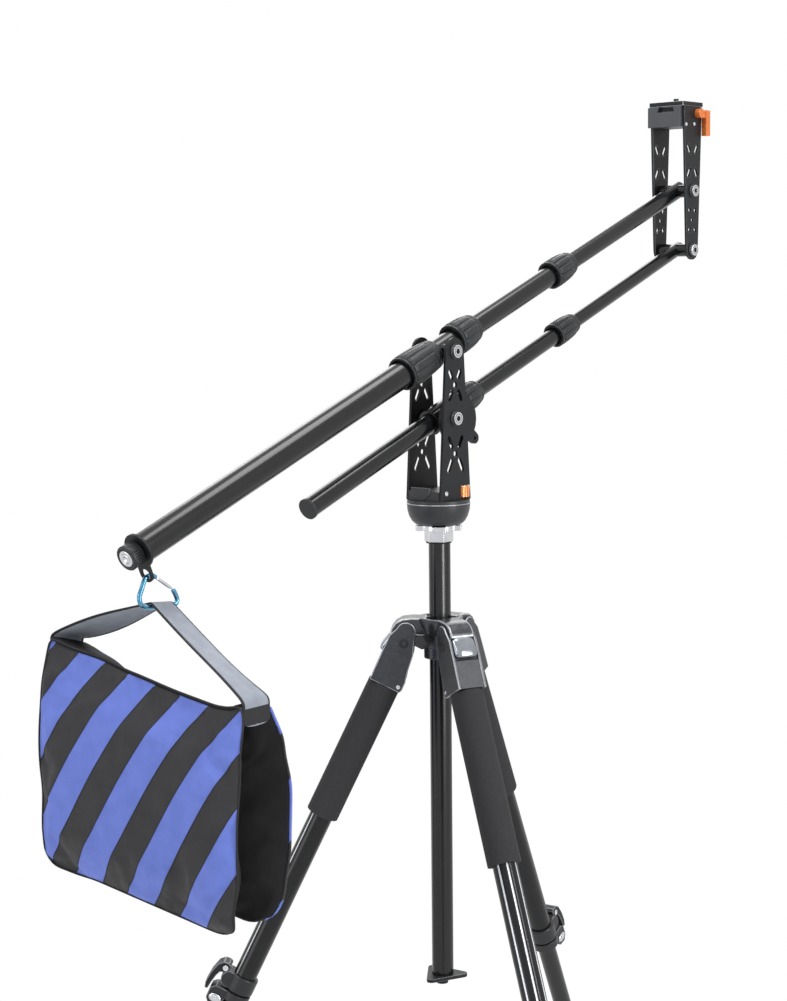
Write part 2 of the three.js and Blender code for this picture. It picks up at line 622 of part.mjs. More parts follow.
const leverBack = -plateBack - seatGap;
const leverFace = leverBack - lever.thickness;
const leverRod = (radius, from, to) => rod("y", radius, from, to, [lever.x, lever.z], pinSides);
add(head, "quick_release_lever", union([
  leverRod(lever.pinRadius, leverBack - lever.standOff, -plateBack + lever.pinReach),
  leverRod(lever.hubRadius, leverFace - lever.standOff, leverBack),
  block([lever.x, lever.tip], [leverFace, leverBack], [lever.armFloor, lever.armTop]),
  block([lever.gripRear, lever.tip], [leverFace - lever.standOff, leverBack],
    [lever.gripFloor, lever.armTop]),
]), orange);

// Carabiner: its upper corner is an arc about the point that it swings on, with the hook's web inside the arc
const link = {
  barRadius: 2.5, cornerRadius: 8.5, length: 48.4, depth: 31.6, barSides: 8, steps: 40,
  arcFrom: THREE.MathUtils.degToRad(56.3), arcTo: THREE.MathUtils.degToRad(150),
  gateRadius: 1.9, gateGap: 1.8, gateLength: 22.5, arcSteps: 8,
};
const sideShares = [[-0.22, -0.1], [-0.283, -0.32], [-0.25, -0.53], [-0.12, -0.645]];
const spineShares = [[0.18, -0.69], [0.36, -0.715], [0.55, -0.74]];
const noseShares = [[0.665, -0.62], [0.635, -0.44]];
const swingX = -tailReach - seatGap - hook.thickness / 2;
const swingZ = -hook.barReach - link.cornerRadius;
const swing = new THREE.Vector3(swingX, 0, swingZ).applyAxisAngle(new THREE.Vector3(0, 1, 0), -boomRise);
const hang = groupAt(jib, "carabiner_frame", swing.x, 0, swing.z);
const shared = ([x, z]) => new THREE.Vector3(x * link.length, 0, z * link.depth);
const onArc = (angle) =>
  new THREE.Vector3(link.cornerRadius * Math.cos(angle), 0, link.cornerRadius * Math.sin(angle));
const gateWay = new THREE.Vector3(Math.sin(link.arcFrom), 0, -Math.cos(link.arcFrom));
const gateStart = onArc(link.arcFrom).addScaledVector(gateWay, link.barRadius);
const gateEnd = gateStart.clone().addScaledVector(gateWay, link.gateLength);
const linkPoints = [
  gateStart.clone().addScaledVector(gateWay, -seatGap),
  ...Array.from({ length: link.arcSteps + 1 }, (_, i) =>
    onArc(link.arcFrom + ((link.arcTo - link.arcFrom) * i) / link.arcSteps)),
  ...[...sideShares, ...spineShares, ...noseShares].map(shared),
  gateEnd.clone().addScaledVector(gateWay, link.gateGap),
];
const linkRoute = new THREE.CatmullRomCurve3(linkPoints, false, "centripetal");
const roundShape = (radius) =>
  new THREE.Shape(ring(radius, link.barSides).map(([a, b]) => new THREE.Vector2(a, b)));
add(hang, "carabiner", solidOf(new THREE.ExtrudeGeometry(roundShape(link.barRadius), {
  steps: link.steps, extrudePath: linkRoute, bevelEnabled: false,
})), blueMetal);

add(hang, "carabiner_gate", solidOf(new THREE.ExtrudeGeometry(roundShape(link.gateRadius), {
  steps: 1, extrudePath: new THREE.LineCurve3(gateStart, gateEnd), bevelEnabled: false,
})), brightMetal);

// Bag: a saddle of two pouches whose ridge slopes, hung by a webbing handle over the carabiner's spine
const bag = {
  width: 216, height: 206, ridgeHalf: 18.5, bulge: 46, drop: 76, offset: 5, slopeShare: 0.22, skewShare: 0.15,
  notch: 152, turn: THREE.MathUtils.degToRad(-78),
};
const strap = {
  width: 36, saddleWidth: 28, thickness: 1.8, tail: 24, arcSteps: 4, midShare: 0.4, shiftShare: 0.2,
  twists: [THREE.MathUtils.degToRad(22), THREE.MathUtils.degToRad(4)],
};
const along = new THREE.Vector3(Math.cos(bag.turn), Math.sin(bag.turn), 0);
const across = new THREE.Vector3(-Math.sin(bag.turn), Math.cos(bag.turn), 0);
const up = new THREE.Vector3(0, 0, 1);

const farShares = [[0.8, -0.22], [1, -0.43], [0.96, -0.68], [0.78, -0.88], [0.46, -1.02], [0.2, -1]];
const nearShares = [[-0.24, -1.04], [-0.5, -1.05], [-0.7, -0.86], [-0.72, -0.53], [-0.6, -0.24]];
const flank = (shares) => shares.map(([v, z]) => [v * bag.bulge, z * bag.height]);
const bagOutline = [
  [-bag.ridgeHalf, 0],
  [bag.ridgeHalf, 0],
  ...flank(farShares),
  [0, -bag.notch],
  ...flank(nearShares),
];
const bagShape = new THREE.Shape(bagOutline.map(([v, z]) => new THREE.Vector2(v, z)));
const bagGeometry = new THREE.ExtrudeGeometry(bagShape, { depth: bag.width, bevelEnabled: false });
bagGeometry.translate(0, 0, -bag.width / 2);
bagGeometry.applyMatrix4(new THREE.Matrix4().set(
  1, 0, 0, 0, 0, 1, -bag.slopeShare, 0, bag.skewShare, 0, 1, bag.offset, 0, 0, 0, 1));
bagGeometry.applyMatrix4(new THREE.Matrix4().makeBasis(across, up, along));
bagGeometry.translate(0, 0, -bag.drop);
add(hang, "bag", solidOf(bagGeometry), stripedCloth);

// The handle is a flat band that leaves the spine on both sides and is sewn down over the ends of the ridge
const spineFrom = shared(spineShares[0]);
const spineTo = shared(spineShares[2]);
const spineWay = spineTo.clone().sub(spineFrom).normalize();
const spineMiddle = shared(spineShares[1]).addScaledVector(spineWay, -strap.saddleWidth * strap.shiftShare);
const wrap = link.barRadius + slideGap + strap.thickness / 2;
const bandRings = [];
function station(point, widthWay, normal, width = strap.width) {
  const halfWidth = widthWay.clone().multiplyScalar(width / 2);
  const half = normal.clone().multiplyScalar(strap.thickness / 2);
  bandRings.push([
    point.clone().add(halfWidth).add(half), point.clone().sub(halfWidth).add(half),
    point.clone().sub(halfWidth).sub(half), point.clone().add(halfWidth).sub(half),
  ]);
}
const endWay = across.clone().addScaledVector(along, bag.skewShare).normalize();
const endNormal = endWay.clone().cross(up).normalize();
function endStations(side) {
  const out = endNormal.clone().multiplyScalar(endNormal.dot(along) > 0 ? side : -side);
  const reach = side * bag.width / 2;
  const top = along.clone().multiplyScalar(reach + bag.offset)
    .addScaledVector(out, seatGap + strap.thickness / 2)
    .addScaledVector(up, seatGap + strap.thickness - bag.drop - bag.slopeShare * reach);
  const low = top.clone().addScaledVector(up, -strap.tail);
  return [
    { point: low, normal: out },
    { point: top, normal: out.clone().add(up).normalize() },
  ];
}
const leftEnd = endStations(-1);
const rightEnd = endStations(1);
leftEnd.forEach(({ point, normal }) => station(point, endWay, normal));
const topWays = [-1, 1].map((side) => {
  const end = side < 0 ? leftEnd[1].point : rightEnd[1].point;
  const fall = spineMiddle.z + wrap - end.z;
  return side * Math.atan2(fall, Math.abs(end.y - spineMiddle.y));
});
function midStation(top, end, twist) {
  const point = top.point.clone().lerp(end.point, strap.midShare);
  const run = end.point.clone().sub(top.point).normalize();
  const level = new THREE.Vector3().lerpVectors(spineWay, endWay, strap.midShare);
  const way = level.addScaledVector(up, -Math.sin(twist)).addScaledVector(run, -level.dot(run)).normalize();
  const normal = way.clone().cross(run).normalize();
  station(point, way, normal.dot(top.normal) < 0 ? normal.negate() : normal);
}
const arc = [];
for (let i = 0; i <= strap.arcSteps; i++) {
  const angle = topWays[0] + ((topWays[1] - topWays[0]) * i) / strap.arcSteps;
  const normal = new THREE.Vector3(0, -Math.sin(angle), Math.cos(angle));
  arc.push({ point: spineMiddle.clone().addScaledVector(normal, wrap), normal });
}
midStation(arc[0], leftEnd[1], strap.twists[0]);
arc.forEach(({ point, normal }) => station(point, spineWay, normal, strap.saddleWidth));
midStation(arc[strap.arcSteps], rightEnd[1], strap.twists[1]);
rightEnd.reverse().forEach(({ point, normal }) => station(point, endWay, normal));
add(hang, "strap", loft(bandRings), webbing);

// Crown: a hub with a top plate, three lugs for the legs and a boss for the column clamp knob
const crown = {
  hubRadius: 20, plateRadius: 30.3, lugHalf: 6, lugRadius: 10, hingeRadius: 37.4,
  bossRadius: 7, bossReach: 25.5, knobAngle: THREE.MathUtils.degToRad(188.5), knobHeight: -304,
};
const hinge = { pin: 4, hole: 4.4 };
const legAngle = (i) => firstLegAngle + (2 * Math.PI * i) / legCount;
const aboutZ = (solid, angle) => solid.rotate([0, 0, THREE.MathUtils.radToDeg(angle)]);
const lug = union([
  block([0, crown.hingeRadius], [-crown.lugHalf, crown.lugHalf],
    [height.legHinge - crown.lugRadius, height.legHinge + crown.lugRadius]),
  rod("y", crown.lugRadius, -crown.lugHalf, crown.lugHalf, [crown.hingeRadius, height.legHinge], roundSides),
]);
const lugBore = rod("y", hinge.hole, -crown.lugHalf - overrun, crown.lugHalf + overrun,
  [crown.hingeRadius, height.legHinge], pinSides);
const clamp = { shank: 3.6, shankTip: 13.4, headRadius: 7.8, headLength: 13, ribs: 5, rib: 1.4 };
const legPlaces = Array.from({ length: legCount }, (_, i) => legAngle(i));
add(jib, "crown", cut(union([
  rod("z", crown.hubRadius, height.crownFloor, height.crownTop),
  rod("z", crown.plateRadius, height.crownPlateFloor, height.crownTop),
  ...legPlaces.map((angle) => aboutZ(lug, angle)),
  aboutZ(rod("x", crown.bossRadius, 0, crown.bossReach, [0, crown.knobHeight], pinSides), crown.knobAngle),
]), [
  prism("z", lobed(slideGap), height.crownFloor - overrun, height.crownTop + overrun),
  ...legPlaces.map((angle) => aboutZ(lugBore, angle)),
  aboutZ(rod("x", clamp.shank + slideGap, 0, crown.bossReach + overrun, [0, crown.knobHeight], pinSides),
    crown.knobAngle),
]), casting);
const clampSeat = crown.bossReach + seatGap;
add(jib, "column_clamp_knob", aboutZ(union([
  rod("x", clamp.shank, clamp.shankTip, clampSeat, [0, crown.knobHeight], pinSides),
  prism("x", knurl(clamp.headRadius, clamp.rib, clamp.ribs, [0, crown.knobHeight]), clampSeat,
    clampSeat + clamp.headLength),
]), crown.knobAngle), charcoal);

// Legs, each in its own frame at its hinge, with Z up along the leg and X outwards
const shoulder = {
  radius: 13, outer: 15, inner: -15, halfWidth: 16, floor: -50, slotFloor: -11,
  spigotRadius: 10.2, spigot: 18,
};
const tab = {
  halfWidth: 12.5, top: 5, floor: -18, thickness: 3.6,
  tongueHalf: 6, tongueTop: -13, tongueFloor: -16.5, tongueDepth: 6.5,
};
const legTube = { outer: 12.6, inner: 10.8, lowerOuter: 10.4, lowerInner: 8.9, insertion: 60 };
const grip = { outer: 17.6, inner: 12.95, ends: [-232, -209, -209] };
const lock = {
  radius: 15.8, top: -404, floor: -440, earHalf: 9, earOut: 27, earTop: -400, earFloor: -430,
  slotHalf: 4.7, slotIn: 16.2, pivotX: 22.5, pivotZ: -409, pinRadius: 2, camRadius: 6, camHalf: 4.3,
};
const blade = { from: 27.4, to: 32, halfWidth: 8, top: -415, floor: -441 };
const foot = { radius: 14, height: 27 };

const shoulderOutline = [
  ...ring(shoulder.radius, smallSides, [0, 0], 0, Math.PI),
  [shoulder.inner, -shoulder.radius],
  [shoulder.inner, shoulder.floor],
  [shoulder.outer, shoulder.floor],
  [shoulder.outer, -shoulder.radius],
];
const slotHalf = crown.lugHalf + slideGap;
const shoulderSolid = cut(union([
  prism("y", shoulderOutline, -shoulder.halfWidth, shoulder.halfWidth),
  rod("z", shoulder.spigotRadius, shoulder.floor - shoulder.spigot, shoulder.floor),
]), [
  block([shoulder.inner - overrun, shoulder.outer + overrun], [-slotHalf, slotHalf],
    [shoulder.slotFloor, shoulder.radius + overrun]),
  block([shoulder.outer - tab.tongueDepth - seatGap, shoulder.outer + overrun],
    [-tab.tongueHalf - slideGap, tab.tongueHalf + slideGap],
    [tab.tongueFloor - slideGap, tab.tongueTop + slideGap]),
]).add(rod("y", hinge.pin, -shoulder.halfWidth, shoulder.halfWidth, [0, 0], pinSides));

const tabFrom = shoulder.outer + seatGap;
const tabSolid = union([
  block([tabFrom, tabFrom + tab.thickness], [-tab.halfWidth, tab.halfWidth], [tab.floor, tab.top]),
  block([shoulder.outer - tab.tongueDepth, tabFrom], [-tab.tongueHalf, tab.tongueHalf],
    [tab.tongueFloor, tab.tongueTop]),
]);

const tubeTop = shoulder.floor - seatGap;
const legUpperSolid = cut(union([
  rod("z", legTube.outer, lock.floor, tubeTop),
  rod("z", lock.radius, lock.floor, lock.top),
  cut(block([0, lock.earOut], [-lock.earHalf, lock.earHalf], [lock.earFloor, lock.earTop]), [
    block([lock.slotIn, lock.earOut + overrun], [-lock.slotHalf, lock.slotHalf],
      [lock.earFloor - overrun, lock.earTop + overrun]),
  ]),
  rod("y", lock.pinRadius, -lock.earHalf, lock.earHalf, [lock.pivotX, lock.pivotZ], pinSides),
]), [rod("z", legTube.inner, lock.floor - overrun, tubeTop + overrun)]);

const leverSolid = cut(union([
  rod("y", lock.camRadius, -lock.camHalf, lock.camHalf, [lock.pivotX, lock.pivotZ], pinSides),
  block([lock.pivotX, blade.from], [-lock.camHalf, lock.camHalf], [blade.top - lock.camRadius, lock.pivotZ]),
  block([blade.from, blade.to], [-blade.halfWidth, blade.halfWidth], [blade.floor, blade.top]),
]), [rod("y", lock.pinRadius + slideGap, -lock.camHalf - overrun, lock.camHalf + overrun,
  [lock.pivotX, lock.pivotZ], pinSides)]);

const gripSolids = grip.ends.map((end) => pipe("z", grip.outer, grip.inner, end, tubeTop - seatGap));

const lowerTop = lock.floor + legTube.insertion;
const footTop = -legLength + foot.height;
const groundTool = block([-legLength, legLength], [-legLength, legLength], [-legLength, 0])
  .rotate([0, THREE.MathUtils.radToDeg(legSplay), 0])
  .translate([0, 0, -legLength]);
const legLowerSolid = union([
  pipe("z", legTube.lowerOuter, legTube.lowerInner, footTop - overrun, lowerTop),
  cut(rod("z", foot.radius, -legLength - foot.radius, footTop), [groundTool]),
]);

legPlaces.forEach((angle, i) => {
  const spoke = new THREE.Group();
  spoke.rotation.z = angle;
  jib.add(spoke);
  const number = i + 1;
  const leg = groupAt(spoke, "leg_frame_" + number, crown.hingeRadius, 0, height.legHinge, -legSplay);
  add(leg, "leg_shoulder_" + number, shoulderSolid, casting);
  add(leg, "leg_angle_tab_" + number, tabSolid, brightMetal);
  add(leg, "leg_upper_tube_" + number, legUpperSolid, blackTube);
  add(leg, "leg_grip_" + number, gripSolids[i], foam);
  add(leg, "leg_lock_lever_" + number, leverSolid, charcoal);
  add(leg, "leg_lower_tube_" + number, legLowerSolid, rubber);
});

// The origin is at the middle of the object's footprint, on the floor
const whole = new THREE.Group();
whole.add(jib);
whole.updateMatrixWorld(true);
const bounds = new THREE.Box3().setFromObject(jib, true);
jib.position.set(
  -(bounds.min.x + bounds.max.x) / 2, -(bounds.min.y + bounds.max.y) / 2, -floorHeight);
whole.updateMatrixWorld(true);

export default whole;
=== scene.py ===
import json
from math import atan2, cos, hypot, pi, radians, sin

import bmesh
import bpy
from mathutils import Matrix, Vector, noise
from mathutils.bvhtree import BVHTree


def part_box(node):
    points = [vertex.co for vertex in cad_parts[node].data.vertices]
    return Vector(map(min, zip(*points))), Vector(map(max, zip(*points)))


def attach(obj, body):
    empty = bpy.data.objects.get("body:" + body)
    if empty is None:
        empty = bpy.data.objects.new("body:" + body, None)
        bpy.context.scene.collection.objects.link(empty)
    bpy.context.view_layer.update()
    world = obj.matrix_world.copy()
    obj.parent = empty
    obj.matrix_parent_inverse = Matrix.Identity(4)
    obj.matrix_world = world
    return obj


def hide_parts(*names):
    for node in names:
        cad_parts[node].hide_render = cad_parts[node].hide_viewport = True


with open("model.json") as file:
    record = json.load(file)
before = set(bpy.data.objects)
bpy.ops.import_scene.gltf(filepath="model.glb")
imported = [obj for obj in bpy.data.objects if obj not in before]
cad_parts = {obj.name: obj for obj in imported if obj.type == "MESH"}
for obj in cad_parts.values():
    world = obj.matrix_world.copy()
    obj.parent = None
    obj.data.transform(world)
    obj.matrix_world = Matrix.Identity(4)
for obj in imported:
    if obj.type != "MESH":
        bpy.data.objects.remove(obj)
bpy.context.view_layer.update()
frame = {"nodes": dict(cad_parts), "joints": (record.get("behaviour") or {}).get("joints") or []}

MM = 0.001
UP = Vector((0, 0, 1))
nodes = frame["nodes"]
joints = {joint["name"]: joint for joint in frame["joints"]}
scene = bpy.context.scene
LEGS = (1, 2, 3)
HANDS = ((-1, "left"), (1, "right"))
FULL_TURN = 2 * pi


def joint_place(name):
    return Vector(joints[name]["pos_m"])


def joint_axis(name):
    return Vector(joints[name]["axis"]).normalized()


def points_of(name):
    return [v.co.copy() for v in nodes[name].data.vertices]


# Materials
def srgb(code):
    """A linear colour from a screen colour in hexadecimal."""
    channels = [int(code[i:i + 2], 16) / 255 for i in (0, 2, 4)]
    linear = [c / 12.92 if c <= 0.04045 else ((c + 0.055) / 1.055) ** 2.4 for c in channels]
    return (*linear, 1)


class Nodes:
    """Short calls that add and link the nodes of a tree."""

    def __init__(self, tree):
        self.tree = tree

    def put(self, value, socket):
        if isinstance(value, bpy.types.NodeSocket):
            self.tree.links.new(value, socket)
        else:
            socket.default_value = value

    def sum(self, kind, operation, values):
        node = self.tree.nodes.new(kind)
        node.operation = operation
        for socket, value in zip(node.inputs, values):
            self.put(value, socket)
        return node

    def math(self, operation, *values):
        return self.sum("ShaderNodeMath", operation, values).outputs[0]

    def vector_math(self, operation, *values):
        node = self.sum("ShaderNodeVectorMath", operation, values)
        return node.outputs["Value" if operation == "DOT_PRODUCT" else "Vector"]

    def seen(self):
        """1 for what the camera, a mirror or glass sees, else 0."""
        ray = self.tree.nodes.new("ShaderNodeLightPath").outputs
        mirrored = self.math("MAXIMUM", ray["Is Camera Ray"], ray["Is Glossy Ray"])
        return self.math("MAXIMUM", mirrored, ray["Is Transmission Ray"])


class Finish(Nodes):
    """A material, with short calls for its colour, gloss and relief."""

    def __init__(self, name, rough=0.5, metal=0.0, specular=0.5, sheen=0.0):
        self.material = bpy.data.materials.new(name)
        self.material.use_nodes = True
        super().__init__(self.material.node_tree)
        self.shader = self.tree.nodes["Principled BSDF"]
        for socket, value in (("Roughness", rough), ("Metallic", metal), ("Specular IOR Level", specular),
                              ("Sheen Weight", sheen)):
            self.shader.inputs[socket].default_value = value
        coordinates = self.tree.nodes.new("ShaderNodeTexCoord")
        self.place = coordinates.outputs["Object"]
        self.uv = coordinates.outputs["UV"]

    def along(self, direction, origin=(0, 0, 0)):
        """How far a point lies along a direction, in metres."""
        return self.vector_math("DOT_PRODUCT", self.vector_math("SUBTRACT", self.place, tuple(origin)),
                                tuple(direction))

    def wave(self, value, length):
        return self.math("SINE", self.math("MULTIPLY", value, FULL_TURN / length))

    def noise(self, scale, detail=3.0):
        node = self.tree.nodes.new("ShaderNodeTexNoise")
        node.inputs["Scale"].default_value = scale
        node.inputs["Detail"].default_value = detail
        self.put(self.place, node.inputs["Vector"])
        return node.outputs["Fac"]

    def blend(self, share, low, high):
        node = self.tree.nodes.new("ShaderNodeMix")
        node.data_type = "RGBA"
        self.put(share, node.inputs[0])
        for socket, value in zip([s for s in node.inputs if s.type == "RGBA"], (low, high)):
            self.put(value, socket)
        return [s for s in node.outputs if s.type == "RGBA"][0]

    def colour(self, value):
        self.put(value, self.shader.inputs["Base Color"])

    def roughness(self, share, low, high):
        self.put(self.math("MULTIPLY_ADD", share, high - low, low), self.shader.inputs["Roughness"])

    def bump(self, height, strength, depth=0.3):
        node = self.tree.nodes.new("ShaderNodeBump")
        node.inputs["Strength"].default_value = strength
        node.inputs["Distance"].default_value = depth * MM
        self.put(height, node.inputs["Height"])
        self.put(node.outputs["Normal"], self.shader.inputs["Normal"])


def plain(name, low, high, rough, metal=0.0, grain=60, bump=0.0, fine=900, spread=0.06, **more):
    """A finish whose colour and gloss drift a little over the surface, with a fine grain."""
    made = Finish(name, rough, metal, **more)
    drift = made.noise(grain)
    made.colour(made.blend(drift, srgb(low), srgb(high)))
    made.roughness(drift, rough - spread, rough + spread)
    if bump:
        made.bump(made.noise(fine, 2), bump)
    return made.material


black_tube = plain("black_tube", "0a0b0c", "121315", 0.2, specular=0.42, spread=0.02)
black_plate = plain("black_plate", "17181a", "202123", 0.45, bump=0.2, specular=0.22)
bowl_black = plain("bowl_black", "28292b", "303133", 0.42, 0.1, bump=0.1, specular=0.4)
deck_grey = plain("deck_grey", "3a3c40", "46484d", 0.5, 0.2, bump=0.15)
grip_plastic = plain("grip_plastic", "222325", "2d2e30", 0.4, bump=0.12, specular=0.3)
# Dark plastic for knobs, lock bands and ears; also painted shade as the thin ring on each bolt's face
dark_plastic_and_painted_shade = plain("dark_plastic_and_painted_shade", "1c1d1f", "262729", 0.42, bump=0.15, specular=0.35)
casting = plain("casting", "303134", "48494d", 0.38, 0.45, bump=0.9, fine=1100, grain=220)
crown_metal = plain("crown_metal", "2c2d30", "55575b", 0.26, 0.6, bump=0.15, grain=120)
bright_metal = plain("bright_metal", "b9bbbe", "dcdde0", 0.24, 1)
chrome = plain("chrome", "7c8086", "a9adb3", 0.16, 1, spread=0.03)
# Painted highlight: bright metal on the rounded edges of the crown and shoulders, the quick release plate and
# the seam under the bowl
painted_edge_highlight = plain("painted_edge_highlight", "8b8d91", "b9bbbf", 0.32, 0.9)
# Painted highlight: a lighter grey on the rounded edges of black plates, lock parts and the base's relief
painted_soft_edge_highlight = plain("painted_soft_edge_highlight", "56585c", "74767a", 0.4, 0.4)
foam = plain("foam", "2e2e30", "39393b", 0.92, grain=260, bump=0.5, fine=1900, specular=0.2)
rubber = plain("rubber", "19191a", "232324", 0.78, bump=0.3, specular=0.3)
orange = plain("orange", "cb6730", "e58341", 0.3, 0.35)
# Painted highlight: a paler orange on the rounded edges of the orange wheel and lever
painted_orange_edge_highlight = plain("painted_orange_edge_highlight", "e9a26a", "f2b888", 0.25, 0.7)
blue_metal = plain("blue_metal", "23698f", "6fa9c6", 0.14, 0.8, specular=0.9)
# Dark thread for piping, seams and the strap's edges; also painted shade on the lower part of the strap's
# tail at one end
dark_thread_and_painted_shade = plain("dark_thread_and_painted_shade", "111113", "1c1c20", 0.8, bump=0.3)
leg_gloss = plain("leg_gloss", "0e0f11", "17181a", 0.2, specular=0.3, spread=0.03)
# Painted highlight: a bright colour on the floors of the legs' grooves, for highlight stripes along the tube
painted_groove_highlight = plain("painted_groove_highlight", "c4c8ce", "e6e8ec", 0.3, 0.5)
# Painted shade: black inside the bolts' sockets and in the gap between each leg lock's bands
painted_shade_black = plain("painted_shade_black", "060606", "0b0b0b", 0.7, specular=0.2)


# Finish of CAD nodes, and of their edges where it differs; the lighter edge finishes are painted highlights
FINISHES = (
    (black_tube, None, ("column", "upper_sleeve", "upper_rear_tube", "upper_mid_tube", "upper_front_tube",
                        "lower_sleeve", "lower_rear_tube", "lower_mid_tube", "lower_front_tube")),
    (black_plate, painted_soft_edge_highlight, ("column_end_plate", "fulcrum_plate_near", "fulcrum_plate_far", "hook_plate",
                              "brake_housing", "camera_plate_near", "camera_plate_far")),
    (black_plate, painted_edge_highlight, ("quick_release_plate",)),
    (bowl_black, None, ("bowl", "pan_base")),
    (deck_grey, None, ("camera_deck",)),
    (dark_plastic_and_painted_shade, None, ("lower_end_cap", "tilt_lock_knob", "column_clamp_knob")),
    (bright_metal, None, ("pivot_bolt_upper", "pivot_bolt_lower", "camera_bolt_upper", "camera_bolt_lower",
                          "carabiner_gate")),
    (foam, None, ("leg_grip_1", "leg_grip_2", "leg_grip_3")),
    (orange, painted_orange_edge_highlight, ("pan_lock_wheel", "quick_release_lever")),
    (blue_metal, None, ("carabiner",)),
)
EDGE = 0.45
WIDE_EDGE = {"leg_grip": 2.2, "bowl": 1, "quick_release_lever": 2, "camera_deck": 0.6, "pan_base": 0.8,
             "pivot_bolt": 0.7, "camera_bolt": 0.7}
ROUNDED = ("carabiner", "carabiner_gate")
SHARP_ANGLE, FLAT_ANGLE = radians(32), radians(0.5)
WELD_GAP = 0.01 * MM


def smooth(mesh):
    mesh.polygons.foreach_set("use_smooth", [True] * len(mesh.polygons))
    mesh.update()


def modify(piece, name, kind, **settings):
    modifier = piece.modifiers.new(name, kind)
    for setting, value in settings.items():
        setattr(modifier, setting, value)


def welded(piece):
    modify(piece, "weld", "WELD", merge_threshold=WELD_GAP)


def weighted(piece):
    modify(piece, "normals", "WEIGHTED_NORMAL", keep_sharp=False)


def subdivided(piece, levels):
    modify(piece, "fine", "SUBSURF", levels=levels, render_levels=levels)


def round_edges(piece, width, steps=2, material=-1):
    """Rounds the sharp edges of a hard piece and shades its curved faces smoothly."""
    welded(piece)
    modify(piece, "flat", "DECIMATE", decimate_type="DISSOLVE", angle_limit=FLAT_ANGLE)
    modify(piece, "bevel", "BEVEL", width=width, segments=steps, limit_method="ANGLE",
           angle_limit=SHARP_ANGLE, material=material, miter_outer="MITER_ARC")
    weighted(piece)
    smooth(piece.data)


def dress(piece, finish, width=EDGE, edge_finish=None, steps=2):
    piece.data.materials.clear()
    for each in (finish, edge_finish):
        if each:
            piece.data.materials.append(each)
    piece.data.polygons.foreach_set("material_index", [0] * len(piece.data.polygons))
    if width:
        round_edges(piece, width * MM, steps, 1 if edge_finish else -1)
    else:
        welded(piece)
        subdivided(piece, 2)
        smooth(piece.data)


def dress_nodes():
    for finish, edge_finish, names in FINISHES:
        for name in names:
            wide = next((width for start, width in WIDE_EDGE.items() if name.startswith(start)), EDGE)
            dress(nodes[name], finish, 0 if name in ROUNDED else wide, edge_finish, 3 if wide > 1 else 2)


# New pieces
def placed(name, data):
    made = bpy.data.objects.new(name, data)
    scene.collection.objects.link(made)
    return made


def piece_of(name, points, faces, finish, body):
    mesh = bpy.data.meshes.new(name)
    mesh.from_pydata([tuple(p) for p in points], [], faces)
    mesh.validate()
    piece = placed(name, mesh)
    mesh.materials.append(finish)
    build = bmesh.new()
    build.from_mesh(mesh)
    bmesh.ops.recalc_face_normals(build, faces=build.faces)
    build.to_mesh(mesh)
    build.free()
    smooth(mesh)
    if body:
        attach(piece, body)
    return piece


def square_to(axis, towards=UP):
    """Two directions square to an axis and to each other."""
    first = towards - axis * towards.dot(axis)
    if first.length < 0.1:
        first = Vector((1, 0, 0)) - axis * axis.x
    first.normalize()
    return first, axis.cross(first)


def skin(name, rings, finish, body, loop=False):
    """A surface over rings of the same number of points, closed at its ends or round into itself."""
    count = len(rings[0])
    points = [p for ring in rings for p in ring]
    faces = []
    for r in range(len(rings) if loop else len(rings) - 1):
        a, b = r * count, (r + 1) % len(rings) * count
        faces += [(a + i, a + (i + 1) % count, b + (i + 1) % count, b + i) for i in range(count)]
    if not loop:
        faces += [tuple(range(count))[::-1], tuple(range(len(points) - count, len(points)))]
    return piece_of(name, points, faces, finish, body)


def turns_of(sides):
    return [FULL_TURN * i / sides for i in range(sides)]


def hexagon(turn):
    """How far out a hexagon's side is, as a share of its corner's distance."""
    sixth = pi / 3
    return cos(sixth / 2) / cos(turn % sixth - sixth / 2)


def turned_piece(name, centre, axis, profile, finish, body, sides=36, loop=False, edge=0.0,
                 towards=UP):
    """A turned piece from a profile of (place along the axis, radius or (radius, shape)), in millimetres."""
    first, second = square_to(axis, towards)
    rings = []
    for place, radius in profile:
        radius, shape = radius if isinstance(radius, tuple) else (radius, None)
        middle = centre + axis * place * MM
        rings.append([middle + (first * cos(t) + second * sin(t)) * (radius * MM * (shape(t) if shape else 1))
                      for t in turns_of(sides)])
    piece = skin(name, rings, finish, body, loop)
    if edge:
        round_edges(piece, edge * MM)
    return piece


def hoop(low, high, outer, inner):
    """The profile of a plain ring."""
    return [(low, outer), (high, outer), (high, inner), (low, inner)]


def screw(name, centre, axis, radius, height, body, finish=None):
    """A cap screw's head with a hexagonal socket; it sinks a little into the face that carries it."""
    deep, rim = height * 0.55, min(height, radius) * 0.2
    profile = [(-0.3, radius), (height - rim, radius), (height, radius - rim),
               (height, radius * 0.55), (height - 0.1, (radius * 0.5, hexagon)),
               (height - deep, (radius * 0.475, hexagon)), (height - deep, (radius * 0.05, hexagon))]
    return turned_piece(name, centre, axis, profile, finish or bright_metal, body, sides=24, edge=0.08)


def tube_along(name, line, radius, finish, body, sides=8, loop=False):
    """A round cord of one radius along a line of points."""
    rings, count, side = [], len(line), None
    for i, point in enumerate(line):
        before = line[i - 1 if i or loop else 0]
        after = line[(i + 1) % count if i + 1 < count or loop else -1]
        way = (after - before).normalized()
        if side is None:
            side = square_to(way)[0]
        side = (side - way * side.dot(way)).normalized()
        other = way.cross(side)
        rings.append([point + (side * cos(t) + other * sin(t)) * radius * MM for t in turns_of(sides)])
    return skin(name, rings, finish, body, loop)


